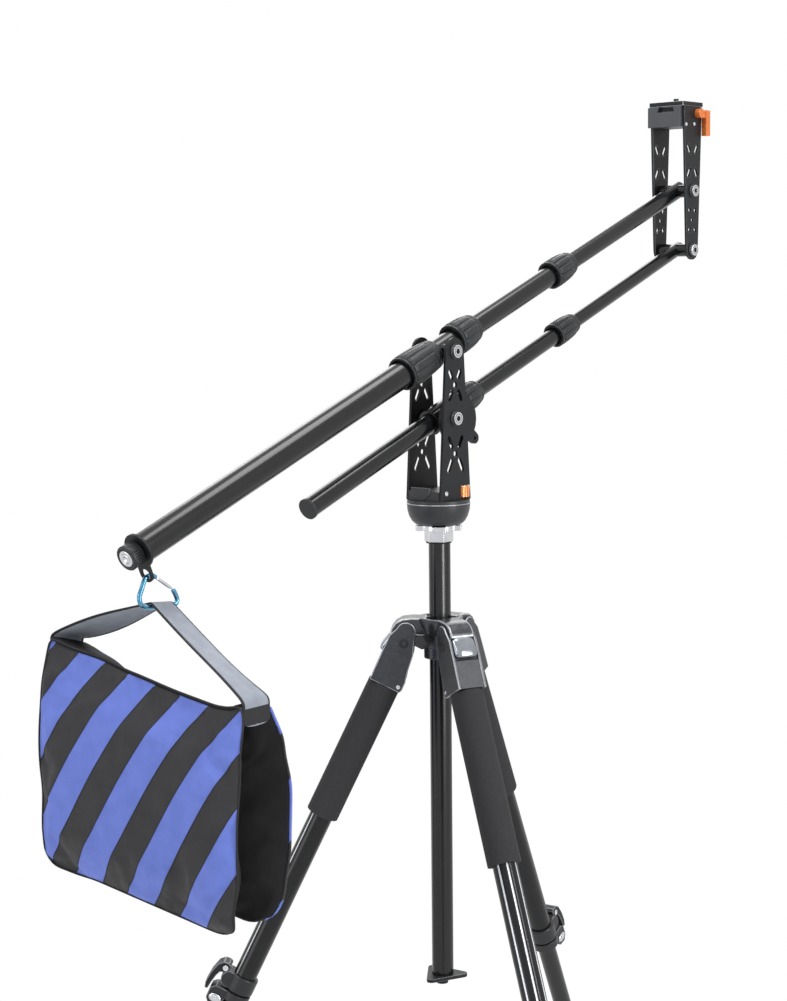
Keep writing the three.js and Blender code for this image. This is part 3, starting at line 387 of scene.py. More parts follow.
def extruded(name, outline, place, low, high, finish, body, edge, edge_finish):
    """A flat outline of (out, up) between two places sideways, with rounded edges."""
    rings = [[place(out, side, up) for out, up in outline] for side in (low, high)]
    piece = skin(name, rings, finish, body)
    piece.data.materials.append(edge_finish)
    round_edges(piece, edge * MM, 3, 1)
    return piece


def resampled(line, step):
    """Points at even distances along a line."""
    lengths = [0]
    for a, b in zip(line, line[1:]):
        lengths.append(lengths[-1] + (b - a).length)
    count = max(2, round(lengths[-1] / step))
    found, i = [], 0
    for k in range(count + 1):
        goal = lengths[-1] * k / count
        while i + 2 < len(line) and lengths[i + 1] < goal:
            i += 1
        share = (goal - lengths[i]) / max(lengths[i + 1] - lengths[i], 1e-9)
        found.append(line[i].lerp(line[i + 1], min(1, share)))
    return found


def eased(share):
    share = max(0, min(1, share))
    return share * share * (3 - 2 * share)


def table_value(table, at):
    """A smooth value from a table of (place, value)."""
    if at <= table[0][0]:
        return table[0][1]
    for (a, low), (b, high) in zip(table, table[1:]):
        if at <= b:
            return low + (high - low) * eased((at - a) / (b - a))
    return table[-1][1]


# Twist collars: a rim, a groove, a fluted barrel and a nose with two fine grooves
COLLARS = ("upper_rear_collar", "upper_front_collar", "upper_mid_collar", "lower_front_collar",
           "lower_mid_collar")
FLUTES, SIDES_PER_FLUTE = 12, 12
FLUTE_SHARE, FLUTE_DEPTH = 0.24, 2.2
LIP, NECK, NEAR_END = 2.6, 1.3, 0.2
BARREL = ((0, 0.985), (0.12, 1), (0.3, 1), (0.5, 0.975), (0.68, 0.93))


def fluted(radius, depth):
    """A radius with flutes cut into it, and a slight crown between them."""
    def shape(turn):
        phase = abs(turn * FLUTES / FULL_TURN % 1 - 0.5) / 0.5
        cut = max(0, (phase - (1 - FLUTE_SHARE)) / FLUTE_SHARE)
        return 1 - (depth * eased(cut) + 0.35 * phase ** 2) / radius

    return radius, shape


def build_collar(name):
    body = name.removeprefix("upper_")
    centre, axis = joint_place(body + "_twist"), joint_axis(body + "_twist")
    spots = []
    for point in points_of(name):
        place = (point - centre).dot(axis)
        spots.append((place / MM, (point - centre - axis * place).length / MM))
    start, end = min(spots)[0], max(spots)[0]
    back = [r for s, r in spots if s < start + NEAR_END]
    front = [r for s, r in spots if s > end - NEAR_END]
    rim, nose, grip = max(back), max(front), max(r for _, r in spots)
    step = min(s for s, r in spots if r < min(front) + NEAR_END)
    lip, first = start + LIP, start + LIP + NECK
    outline = [(start, rim - 0.4), (start + 0.4, rim), (lip - 0.4, rim), (lip, rim - 0.4), (lip, rim - 1.2),
               (first, rim - 1.2)]
    for share, scale in BARREL:
        outline.append((first + (end - first) * share,
                        fluted(grip * scale, FLUTE_DEPTH * (1 - 0.75 * share))))
    tail = first + (end - first) * 0.74
    outline.append((tail, fluted(grip + (nose - grip) * 0.45, 0.25)))
    run, top = end - tail, grip + (nose - grip) * 0.55
    for share in (0.12, 0.5):
        low = top + (nose - top) * share
        for further, deeper in ((0, 0), (0.06, 0.5), (0.14, 0.5), (0.2, 0.1)):
            outline.append((tail + run * (share + further), low - deeper))
    outline += [(end - 0.5, nose), (end, nose - 0.5), (end, min(front)), (step, min(front)),
                (step, min(back)), (start, min(back))]
    piece = turned_piece(name + "_ribbed", centre, axis, outline, grip_plastic, body,
                         sides=FLUTES * SIDES_PER_FLUTE, loop=True)
    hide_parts(name)
    weighted(piece)


# Floor, background, lights and camera
PHOTO_SIZE = (787, 1001)
FOCAL_PIXELS = 2040.97
SENSOR = 36
pan_origin = joint_place("boom_tilt")
camera_offset = Vector((-1624.43, -1402.45, 73.51)) * MM
bearing, pitch, roll = (radians(a) for a in (-47.923, 6.141, -0.589))


def build_camera():
    level_right = Vector((cos(bearing), sin(bearing), 0))
    level_forward = Vector((-sin(bearing), cos(bearing), 0))
    forward = level_forward * cos(pitch) - UP * sin(pitch)
    top = level_forward * sin(pitch) + UP * cos(pitch)
    right = level_right * cos(roll) + top * sin(roll)
    rise = top * cos(roll) - level_right * sin(roll)
    data = bpy.data.cameras.new("camera")
    data.sensor_width = SENSOR
    data.lens = FOCAL_PIXELS / max(PHOTO_SIZE) * SENSOR
    data.clip_end = 50
    camera = placed("camera", data)
    turn = Matrix((right, rise, -forward)).transposed()
    camera.matrix_world = Matrix.Translation(pan_origin + camera_offset) @ turn.to_4x4()
    scene.camera = camera
    return level_right, level_forward


AMBIENT = 0.38
FLOOR_GLOW, GLOW_RISE = 0.55, 0.45
FLOOR_HALF = 30
LAMP_TARGET = Vector((0, 0, 0.75))
# Each lamp's name, its place to the right of the target, ahead of it and above it, its size, and its power
LAMPS = (
    ("key", (1.95, -1.58, 0.5), (0.35, 2.4), 46),
    ("top", (-1.0, -0.9, 2.3), (2.2, 0.9), 42),
    ("fill", (-2.3, -1.6, 0.3), (1.0, 2.0), 18),
    ("streak", (0.45, 0.15, 2.2), (1.3, 0.8), 22),
    ("rim", (0, 2.2, 1.4), (2.2, 1.2), 24),
)


def build_stage(right, forward):
    made = Finish("floor", 0.9, specular=0.1)
    made.colour(srgb("f2f2f2"))
    glow = made.tree.nodes.new("ShaderNodeEmission")
    glow.inputs["Color"].default_value = (1, 1, 1, 1)
    mix = made.tree.nodes.new("ShaderNodeMixShader")
    far_off = made.vector_math("DOT_PRODUCT", made.place, made.place)
    share = made.math("MINIMUM", made.math("MULTIPLY_ADD", far_off, GLOW_RISE, FLOOR_GLOW), 1)
    made.put(made.math("MULTIPLY", made.seen(), share), mix.inputs[0])
    made.put(made.shader.outputs[0], mix.inputs[1])
    made.put(glow.outputs[0], mix.inputs[2])
    made.put(mix.outputs[0], made.tree.nodes["Material Output"].inputs["Surface"])
    corners = [(x * FLOOR_HALF, y * FLOOR_HALF, 0) for x, y in ((-1, -1), (1, -1), (1, 1), (-1, 1))]
    piece_of("floor", corners, [(0, 1, 2, 3)], made.material, None)
    world = bpy.data.worlds.new("world")
    scene.world = world
    world.use_nodes = True
    sky = Nodes(world.node_tree)
    background = sky.tree.nodes["Background"]
    background.inputs["Color"].default_value = (1, 1, 1, 1)
    sky.put(sky.math("MULTIPLY_ADD", sky.seen(), 1 - AMBIENT, AMBIENT), background.inputs["Strength"])
    for name, (aside, ahead, above), size, power in LAMPS:
        data = bpy.data.lights.new(name, "AREA")
        data.shape = "RECTANGLE"
        data.size, data.size_y = size
        data.energy = power
        lamp = placed(name, data)
        away = right * aside + forward * ahead + UP * above
        lamp.location = LAMP_TARGET + away
        lamp.rotation_euler = (-away).to_track_quat("-Z", "Y").to_euler()
    scene.view_settings.view_transform = "Standard"


# Bag: two pouches under one ridge, in the directions along the ridge, across it and up
BAG_WAY = radians(-78)
bag_origin = joint_place("carabiner_level")
along = Vector((cos(BAG_WAY), sin(BAG_WAY), 0))
across = Vector((-sin(BAG_WAY), cos(BAG_WAY), 0))
BAG_HALF, BAG_DROP = 108, 76
RIDGE_SLOPE, END_SKEW, BAG_SHIFT, RIDGE_HALF, BULGE = 0.22, 0.15, 5, 18.5, 46
NEAR_SAG = [(-108, 0), (-80, 2), (-50, 1), (-13, 4), (43, 6), (80, 6), (94, 4), (108, -3)]
FAR_SAG = [(-108, 8), (-70, 15), (-40, 26), (-5, 33), (40, 36), (76, 32), (92, 21), (108, 0)]
FAR_OUT = [(-214, 0.4), (-206, 0.55), (-181, 0.78), (-140, 0.96), (-88, 1), (-45, 0.8), (0, 0.4)]
NEAR_OUT = [(-216, 0.4), (-209, 0.55), (-177, 0.7), (-109, 0.72), (-49, 0.6), (0, 0.4)]
NEAR_LEFT = [(-222, -112), (-207, -114), (-190, -110), (-174, -108), (-144, -106), (-117, -108.5),
             (-70, -110), (-20, -108), (0, -107)]
NEAR_RIGHT = [(-217, 93), (-202, 104), (-156, 112.5), (-66, 114), (-22, 113), (0, 109)]
NEAR_FLOOR = [(-108, -221), (-80, -220), (-50, -217.5), (90, -217), (101, -216), (108, -208)]
FAR_LEFT, FAR_RIGHT = [(-90, -108), (0, -99)], [(-214, 100), (-190, 107), (0, 108)]
LEFT_IN = FAR_LEFT[-1][1] + BAG_HALF
FAR_FLOOR = [(-108, -208), (-98, -213), (92, -214), (108, -205)]
BAND, BAND_START, BLUE_SHARE, BAND_FOOT = 59, -82.1, 0.52, 214
LEAN_LINE, LEAN_CURVE, LEAN_CUBE = 0.719, -2.03, 7.07


def bag_point(u, v, z):
    """A point of the bag from millimetres along, across and up; the two sides sag at their tops."""
    far_share = max(0, min(1, (v / RIDGE_HALF + 1) / 2))
    sag = table_value(NEAR_SAG, u) * (1 - far_share) + table_value(FAR_SAG, u) * far_share
    sag *= eased(1 + z / 110)
    shift = along * (u + END_SKEW * v + BAG_SHIFT) + across * v
    return bag_origin + (shift + UP * (z - RIDGE_SLOPE * u - BAG_DROP - sag)) * MM


def pouch(name, side, table, outline, finish_out):
    """One pouch: a closed pillow whose flat outer panel meets the black inner one at a seam."""
    left_edge, right_edge, bottom = outline
    floor = table[0][0]
    columns, levels = 44, 40
    thickest = 27 if side > 0 else 22

    def outer(z):
        return table_value(table, z) * BULGE

    def depth(u, z):
        edge = max(0, 1 - (abs(u) / BAG_HALF) ** 5) ** 0.6
        low = max(0, 1 - ((z - floor * 0.62) / (floor * 0.62)) ** 2 * (0.55 if z > floor * 0.62 else 2.6))
        return 1.6 + thickest * edge * low ** 0.7

    def sway(u, z):
        return 2.2 * noise.noise(Vector((u * 0.013 + side * 9, z * 0.017, side * 3.1)))

    points, faces = [], []
    row, sheet = columns + 1, (columns + 1) * (levels + 1)
    for inner in (False, True):
        for j in range(levels + 1):
            for i in range(row):
                even = -BAG_HALF + 2 * BAG_HALF * i / columns
                z = -1.5 + (table_value(bottom, even) + 1.5) * j / levels
                left, right = table_value(left_edge, z), table_value(right_edge, z)
                rim = i in (0, columns) or j in (0, levels)
                v = outer(z) + (0 if rim else sway(even, z))
                if inner:
                    v = max(0.6, outer(z) - depth(even, z))
                points.append(bag_point(left + (right - left) * i / columns, side * v, z))
                if i < columns and j < levels:
                    a = len(points) - 1
                    faces.append((a, a + 1, a + row + 1, a + row))
    ring = list(range(columns)) + [j * row + columns for j in range(levels)]
    ring += [levels * row + i for i in range(columns, 0, -1)] + [j * row for j in range(levels, 0, -1)]
    faces += [(a, b, sheet + b, sheet + a) for a, b in zip(ring, ring[1:] + ring[:1])]
    piece = piece_of(name, points, faces, finish_out, None)
    piece.data.materials.append(bag_black)
    for face in piece.data.polygons:
        face.material_index = int(face.index >= columns * levels)
    pinned = piece.vertex_groups.new(name="pinned")
    pinned.add([k + base for k in ring for base in (0, sheet)], 1, "ADD")
    held = [j * row + i + base for base in (0, sheet) for j in range(1, 4) for i in range(1, columns)]
    pinned.add(held, 0.5, "ADD")
    return piece, ring


PUFF_FRAMES, PUFF_CAP = 20, 7 * MM
CLOTH = (("quality", 5), ("mass", 0.2), ("tension_stiffness", 12), ("compression_stiffness", 12),
         ("shear_stiffness", 4), ("bending_stiffness", 0.3), ("use_pressure", True),
         ("uniform_pressure_force", 3), ("shrink_min", -0.035), ("shrink_max", -0.035),
         ("vertex_group_mass", "pinned"))


def puff(piece):
    """Fills a pouch with Blender's cloth, held at its seams; no point moves further than a cap."""
    start = [v.co.copy() for v in piece.data.vertices]
    cloth = piece.modifiers.new("cloth", "CLOTH")
    for setting, value in CLOTH:
        setattr(cloth.settings, setting, value)
    cloth.settings.effector_weights.gravity = 0
    cloth.collision_settings.use_collision = False
    cloth.collision_settings.use_self_collision = False
    cloth.point_cache.frame_start, cloth.point_cache.frame_end = 1, PUFF_FRAMES
    for step in range(1, PUFF_FRAMES + 1):
        scene.frame_set(step)
    graph = bpy.context.evaluated_depsgraph_get()
    done = piece.evaluated_get(graph).to_mesh()
    moved = [v.co.copy() for v in done.vertices]
    piece.evaluated_get(graph).to_mesh_clear()
    piece.modifiers.remove(cloth)
    scene.frame_set(1)
    for vertex, old, new in zip(piece.data.vertices, start, moved):
        shift = new - old
        if shift.length > PUFF_CAP:
            shift *= PUFF_CAP / shift.length
        vertex.co = old + shift
    piece.data.update()


WEAVE = 0.55 * MM


def cloth_finish(name, blue=False):
    made = Finish(name, 0.75, specular=0.2, sheen=0.1 if blue else 0)
    made.shader.inputs["Sheen Roughness"].default_value = 0.5
    drift = made.noise(55, 4)
    low, high = ("2b2b2d", "39393b") if blue else ("111113", "1a1a1c")
    dark = made.blend(drift, srgb(low), srgb(high))
    weave = made.math("MULTIPLY", made.wave(made.along(along), WEAVE), made.wave(made.along(UP), WEAVE))
    wrinkle = made.noise(70, 4)
    height = made.math("MULTIPLY_ADD", weave, 0.05, made.math("MULTIPLY", wrinkle, 1.6))
    if blue:
        # Bands that lean and curve: the place along the ridge less the band's own lean at that height
        u = made.math("SUBTRACT", made.along(along, bag_origin), BAG_SHIFT * MM)
        rise = made.math("MULTIPLY_ADD", u, RIDGE_SLOPE, made.along(UP, bag_origin))
        level = made.math("ADD", rise, (BAG_DROP + BAND_FOOT) * MM)
        slope = made.math("MULTIPLY_ADD", level, made.math("MULTIPLY_ADD", level, LEAN_CUBE, LEAN_CURVE),
                          LEAN_LINE)
        shift = made.math("SUBTRACT", made.math("SUBTRACT", u, made.math("MULTIPLY", level, slope)),
                          (BAND_START - 20 * BAND) * MM)
        turn = made.math("FRACT", made.math("DIVIDE", shift, BAND * MM))
        band = made.math("LESS_THAN", turn, BLUE_SHARE)
        light_blue = made.blend(drift, srgb("586bb8"), srgb("7183d6"))
        made.colour(made.blend(band, dark, light_blue))
    else:
        made.colour(dark)
    made.bump(height, 0.6, 1.5)
    return made.material


def build_bag():
    for name, side, table, outline in (("bag_pouch_near", -1, NEAR_OUT, (NEAR_LEFT, NEAR_RIGHT, NEAR_FLOOR)),
                                       ("bag_pouch_far", 1, FAR_OUT, (FAR_LEFT, FAR_RIGHT, FAR_FLOOR))):
        piece, seam = pouch(name, side, table, outline, bag_stripes)
        puff(piece)
        edge = [piece.data.vertices[k].co.copy() for k in seam]
        for _ in range(3):
            edge = [(edge[i - 1] + edge[i] * 2 + edge[(i + 1) % len(edge)]) / 4 for i in range(len(edge))]
        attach(piece, "bag")
        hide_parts("bag")
        subdivided(piece, 1)
        finish, cord = (dark_thread_and_painted_shade, 0.9) if side < 0 else (bag_stripes, 1.5)
        tube_along(name + "_piping", edge, cord, finish, "bag", loop=True)
        build_seams(name, side, piece)
    build_ridge()


def build_seams(name, side, piece):
    """A thin cord on each boundary between two bands, laid on the outer panel."""
    graph = bpy.context.evaluated_depsgraph_get()
    tree = BVHTree.FromObject(piece, graph)
    number = 0
    for k in range(-10, 12):
        edge = BAND_START + (k // 2 + (BLUE_SHARE if k % 2 else 0)) * BAND
        line = []
        for step in range(0, 79):
            level = -8 + 3 * step
            u = edge + level * (LEAN_LINE + level * MM * (LEAN_CURVE + level * MM * LEAN_CUBE))
            start = along * (u + BAG_SHIFT) + across * (side * 90)
            start += UP * (level - BAND_FOOT - BAG_DROP - RIDGE_SLOPE * u)
            hit = tree.ray_cast(bag_origin + start * MM, -across * side)[0]
            if hit and (not line or (hit - line[-1]).length < 14 * MM):
                line.append(hit)
        if len(line) > 6:
            number += 1
            tube_along(f"{name}_band_seam_{number}", resampled(line, 4 * MM), 0.45, dark_thread_and_painted_shade, "bag",
                       sides=6)


# The ridge's section, across and up: its upper and lower left edges, which are mirrored
RIDGE_STEPS = 40
RIDGE_TOP, RIDGE_LOW = [(-19.1, -4), (-18.9, -0.6), (-17.3, 0.4), (-6, 0.2)], [(-16.9, -1.4), (-17.7, -4)]


def mirrored(part):
    return [(-v, z) for v, z in reversed(part)]


def build_ridge():
    """The flat strip that joins the two pouches at their tops."""
    section = RIDGE_TOP + mirrored(RIDGE_TOP) + mirrored(RIDGE_LOW) + [(0, -1.4)] + RIDGE_LOW
    rings = []
    for i in range(RIDGE_STEPS + 1):
        even = -BAG_HALF + 2 * BAG_HALF * i / RIDGE_STEPS
        spread = LEFT_IN * (BAG_HALF - even) / (2 * BAG_HALF)
        rings.append([bag_point(even + spread * (v / RIDGE_HALF + 1) / 2, v, z) for v, z in section])
    piece = skin("bag_ridge", rings, bag_black, "bag")
    subdivided(piece, 1)


# Handle: a band of webbing over the carabiner's lower bar, sewn down over the ridge's ends
LINK_LENGTH, LINK_DEPTH, LINK_BAR = 48.4, 31.6, 2.5
SPINE_SHARES = ((0.18, -0.69), (0.36, -0.715), (0.55, -0.74))
STRAP_WIDTH, SADDLE_WIDTH, STRAP_THICK, STRAP_TAIL, STRAP_SHIFT = 36, 28, 1.8, 24, 5.6
STRAP_SEAT, STRAP_LIFT, STRAP_SPREAD = 0.35, 0.3, 0.6
STRAP_RIB, STRAP_WEFT, STRAP_STEP = 1.6 * MM, 1.1 * MM, 8
TWISTS, STRAP_BOW = {-1: (radians(20), 1.15), 1: (radians(13), 1.5)}, 1.5
STRAP_SHARES = (-1, -0.93, -0.9, -0.5, 0, 0.5, 0.9, 0.93, 1)


def strap_stations():
    """Middles, width directions, normals and widths along the handle, from the bag's origin."""
    spine = [Vector((x * LINK_LENGTH, 0, z * LINK_DEPTH)) for x, z in SPINE_SHARES]
    spine_way = (spine[2] - spine[0]).normalized()
    middle = spine[1] - spine_way * STRAP_SHIFT
    wrap = LINK_BAR + STRAP_SEAT + STRAP_THICK / 2
    end_ways = {1: (across + along * END_SKEW).normalized()}
    end_ways[-1] = (across + along * (END_SKEW + 9 / STRAP_WIDTH) - UP * (8 / STRAP_WIDTH)).normalized()

    def end(side):
        end_normal = end_ways[side].cross(UP).normalized()
        out = end_normal * (side if end_normal.dot(along) > 0 else -side)
        reach = side * BAG_HALF
        middle_sag = (table_value(NEAR_SAG, reach) + table_value(FAR_SAG, reach)) / 2
        middle_in = LEFT_IN / 2 if side < 0 else 0
        top = along * (reach + middle_in + BAG_SHIFT) + out * (STRAP_LIFT + STRAP_THICK / 2)
        top += UP * (STRAP_LIFT + STRAP_THICK - BAG_DROP - RIDGE_SLOPE * (reach + middle_in) - middle_sag)
        return top, out

    ends = {side: end(side) for side in (-1, 1)}
    tops = [side * atan2(middle.z + wrap - point.z, abs(point.y - middle.y))
            for side, (point, _) in ends.items()]
    turns = [tops[0] + (tops[1] - tops[0]) * i / 10 for i in range(11)]
    ways = [Vector((0, -sin(t), cos(t))) for t in turns]
    arc = [(middle + way * wrap, way) for way in ways]

    def side_run(side, top, top_normal):
        """From the saddle to the ridge's end and down it."""
        found = []
        (end_point, out), end_way, (twist, power) = ends[side], end_ways[side], TWISTS[side]
        run = (end_point - top).normalized()
        for share in (0.12, 0.28, 0.44, 0.6, 0.76, 0.9):
            level = spine_way.lerp(end_way, share) - UP * sin(twist) * sin(pi * share ** power)
            way = (level - run * level.dot(run)).normalized()
            normal = way.cross(run).normalized()
            if normal.dot(top_normal) < 0:
                normal = -normal
            bow = normal * (STRAP_BOW * sin(pi * share))
            width = SADDLE_WIDTH + (STRAP_WIDTH - SADDLE_WIDTH) * eased(share / STRAP_SPREAD)
            found.append((top.lerp(end_point, share) - bow, way, normal, width))
        found.append((end_point, end_way, (out + UP).normalized(), STRAP_WIDTH))
        return found + [(end_point - UP * (STRAP_TAIL * share), end_way, out, STRAP_WIDTH)
                        for share in (0.25, 0.6, 1)]

    saddle = [(point, spine_way, normal, SADDLE_WIDTH) for point, normal in arc]
    return side_run(-1, *arc[0])[::-1] + saddle + side_run(1, *arc[-1])


def build_strap():
    rings, length = [], 0
    for point, way, normal, width in strap_stations():
        if rings:
            way = -way if last_way.dot(way) < 0 else way
            length += (point - last_point).length * MM
        last_point, last_way = point, way
        places = [(way * (width / 2 * s), normal * (STRAP_THICK / 2 * (1 if abs(s) < 1 else 0.55)))
                  for s in STRAP_SHARES]
        ring = [point + aside + lift for aside, lift in places]
        ring += [point + aside - lift for aside, lift in reversed(places)]
        rings.append([bag_origin + p * MM for p in ring])
    piece = skin("strap_webbing", rings, webbing, "bag")
    piece.data.materials.append(dark_thread_and_painted_shade)
    count = len(rings[0])
    edges = {0, 1, 6, 7, 8, 9, 10, 15, 16, 17}
    uv = piece.data.uv_layers.new(name="band")
    for face in piece.data.polygons:
        if face.loop_total == 4:
            columns = sorted({v % count for v in face.vertices})
            lowest = columns[0] if columns[1] - columns[0] == 1 else columns[1]
            row = min(face.vertices) // count
            # The last rows, where the strap's tail goes down over the ridge's end, take the dark colour as
            # painted shade
            face.material_index = 1 if lowest in edges or row > len(rings) - 4 else 0
            for loop in face.loop_indices:
                vertex = piece.data.loops[loop].vertex_index
                place = vertex % count
                share = STRAP_SHARES[min(place, count - 1 - place)]
                uv.data[loop].uv = (share * STRAP_WIDTH / 2 * MM, vertex // count * STRAP_STEP * MM)
    subdivided(piece, 2)
    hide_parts("strap")


def webbing_finish():
    made = Finish("webbing", 0.8, specular=0.25, sheen=0.2)
    drift = made.noise(80, 4)
    split = made.tree.nodes.new("ShaderNodeSeparateXYZ")
    made.put(made.uv, split.inputs[0])
    rib, weft = made.wave(split.outputs[0], STRAP_RIB), made.wave(split.outputs[1], STRAP_WEFT)
    weave = made.math("MULTIPLY_ADD", made.math("MULTIPLY", rib, weft), 0.5, 0.5)
    shade = made.math("MULTIPLY_ADD", weave, 0.25, made.math("MULTIPLY", drift, 0.75))
    made.colour(made.blend(shade, srgb("6b717c"), srgb("a0a7b2")))
    made.bump(weave, 0.35, 0.4)
    return made.material


bag_stripes = cloth_finish("bag_stripes", blue=True)
bag_black = cloth_finish("bag_black")
webbing = webbing_finish()


# Column flange: a hexagonal nut under a plate with four lobes
def build_flange(right):
    low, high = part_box("column_flange")
    centre = Vector(((low.x + high.x) / 2, (low.y + high.y) / 2, 0))
    radius = (high.x - low.x) / 2 / MM
    top, floor = high.z / MM, low.z / MM
    nut_top = floor + 11.7
    lobe_way = atan2(right.y, right.x)
    base = atan2(*reversed(square_to(UP)[0].xy))

    def lobes(turn):
        phase = abs(((turn + base - lobe_way) / (pi / 2) + 0.5) % 1 - 0.5) * pi / 2
        return 0.72 + 0.28 * eased((radians(24) - phase) / radians(7))

    bore = 12.9
    plate = hoop(nut_top, top - 0.3, (radius, lobes), bore)
    nut = hoop(floor, nut_top - 0.02, (15.6, hexagon), bore)
    collar = [(floor - 1.6, 13.4), (floor - 0.1, 13.8), (floor - 0.1, bore), (floor - 1.6, bore)]
    pieces = [turned_piece("flange_" + part, centre, UP, outline, finish, "column", sides, True, edge)
              for part, outline, finish, slot, sides, edge in (
                  ("plate", plate, bright_metal, "bright_metal", 144, 0.5),
                  ("nut", nut, bright_metal, "bright_metal", 36, 0.6),
                  ("seal", collar, rubber, "black_plate", 48, 0))]
    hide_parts("column_flange")


# Legs: a grooved tube and the body of its lock replace the plain upper tube; the grooves' floors carry
# painted highlight stripes
LEG_TUBE, LEG_BORE, LOCK_FLOOR = 12.6, 10.8, -440
GROOVE_TURNS = [radians(turn) for turn in (-62, -14, 39)]
GROOVE_HALF, GROOVE_DEPTH = radians(8), 0.9


class Place:
    """Directions at a hinge: out, sideways and up, with places in millimetres."""

    def __init__(self, origin, out, up):
        self.origin, self.out, self.side, self.up = origin, out, up.cross(out), up

    def at(self, out, side, up):
        return self.origin + (self.out * out + self.side * side + self.up * up) * MM


class Leg(Place):
    """A leg's own directions: out is away from the column, up is along the leg."""

    def __init__(self, number):
        up = -joint_axis(f"leg_slide_{number}")
        super().__init__(joint_place(f"leg_fold_{number}"), joint_axis(f"leg_tab_pull_{number}"), up)
        self.number, self.body = number, f"leg_{number}"


LOCK_PIN = (22.5, 9.4, -409)
PLATE_PLACE, PLATE_SIZE, PLATE_SIDES = (19.5, -444), (7.2, 4.6), 32
PLATE_RINGS = ((10.8, 1), (11.7, 1), (11.7, 0.5), (11.7, 0.02))
# The third band is a black ring of painted shade in the gap between the first two
LOCK_BANDS = ([(-428, 15), (-427.4, 15.9), (-411, 15.9), (-409.6, 15), (-409.6, 10.8), (-428, 10.8)],
              [(-440, 15), (-439.4, 15.6), (-431, 15.6), (-430.2, 15), (-430.2, 10.8), (-440, 10.8)],
              [(-430.4, 13.6), (-427.8, 13.6), (-427.8, 10.8), (-430.4, 10.8)])
LOCK_EARS = ([(9, -427.5), (9, -410), (17, -409.4), (21, -412), (23.5, -418), (22, -424), (17, -427.5)],
             [(9, -440), (9, -430.6), (24, -430.6), (29, -435), (29, -447), (24, -453), (14, -452)])
LOCK_LEVER = [(17.6, -404.6), (21, -402.6), (27, -403.2), (32, -408), (35.4, -420), (36.4, -432),
              (34.6, -439), (31.4, -438.6), (30.4, -430), (28.6, -421), (26.4, -415.4), (22.4, -414.4),
              (18, -411.6)]


def side_screw(leg, name, side, place, radius, height, body, finish=None):
    """A screw on one side of a leg, at a place (out, half the width, up)."""
    out, half, up = place
    screw(name, leg.at(out, side * half, up), leg.side * side, radius, height, body, finish)


def build_lock(leg):
    """A clamp of two bands with ears, a thick lever between them and a silver plate on the lower ear."""
    number, lock_body = leg.number, f"leg_lock_{leg.number}"
    # The third band takes the painted shade black
    for i, profile in enumerate(LOCK_BANDS):
        finish = dark_plastic_and_painted_shade if i < 2 else painted_shade_black
        turned_piece(f"leg_lock_band_{number}_{i + 1}", leg.origin, leg.up, profile, finish, leg.body,
                     sides=72, loop=True, edge=0.3)
    for i, (outline, half) in enumerate(zip(LOCK_EARS, (10.6, 11))):
        extruded(f"leg_lock_ear_{number}_{i + 1}", outline, leg.at, -half, half, dark_plastic_and_painted_shade, leg.body,
                 0.9, painted_soft_edge_highlight)
    lever = extruded(f"leg_lock_blade_{number}", LOCK_LEVER, leg.at, -LOCK_PIN[1], LOCK_PIN[1],
                     black_plate, lock_body, 1, painted_soft_edge_highlight)
    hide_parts(f"leg_lock_lever_{number}")
    (out, up), (wide, tall) = PLATE_PLACE, PLATE_SIZE
    for side, hand in HANDS:
        side_screw(leg, f"leg_lock_pin_{number}_{hand}", side, LOCK_PIN, 3.1, 1.2, lock_body)
        rings = [[leg.at(out + wide * size * cos(t), side * place, up + tall * size * sin(t))
                  for t in turns_of(PLATE_SIDES)] for place, size in PLATE_RINGS]
        skin(f"leg_lock_plate_{number}_{hand}", rings, bright_metal, leg.body)
        side_screw(leg, f"leg_lock_screw_{number}_{hand}", side, (20, 11.6, up), 2.7, 0.8, leg.body)


def groove_gap(turn):
    """How far a direction round the leg is from the nearest groove; the grooves are on the outer side."""
    return min(abs((turn - place + pi) % FULL_TURN - pi) for place in GROOVE_TURNS)


def build_leg(leg):
    name = f"leg_upper_tube_{leg.number}"
    top = max((p - leg.origin).dot(leg.up) for p in points_of(name)) / MM

    def grooved(turn):
        return 1 - GROOVE_DEPTH / LEG_TUBE * eased((GROOVE_HALF - groove_gap(turn)) / (GROOVE_HALF * 0.5))

    profile = hoop(LOCK_FLOOR, top, (LEG_TUBE, grooved), LEG_BORE)
    tube = turned_piece(f"leg_tube_grooved_{leg.number}", leg.origin, leg.up, profile, leg_gloss, leg.body,
                        sides=144, loop=True, towards=leg.out)
    weighted(tube)
    # The faces at the floors of the grooves get the painted highlight colour
    tube.data.materials.append(painted_groove_highlight)
    for face in tube.data.polygons:
        away = face.center - leg.origin
        away -= leg.up * away.dot(leg.up)
        turn = atan2(away.dot(leg.side), away.dot(leg.out))
        if groove_gap(turn) < GROOVE_HALF * 0.62 and away.length > (LEG_BORE + 0.3) * MM:
            face.material_index = 1
    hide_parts(name)
    build_lock(leg)
    for side, hand in HANDS:
        side_screw(leg, f"leg_hinge_bolt_{leg.number}_{hand}", side, (0, 16, 0), 5, 0.8, leg.body,
                   dark_plastic_and_painted_shade)


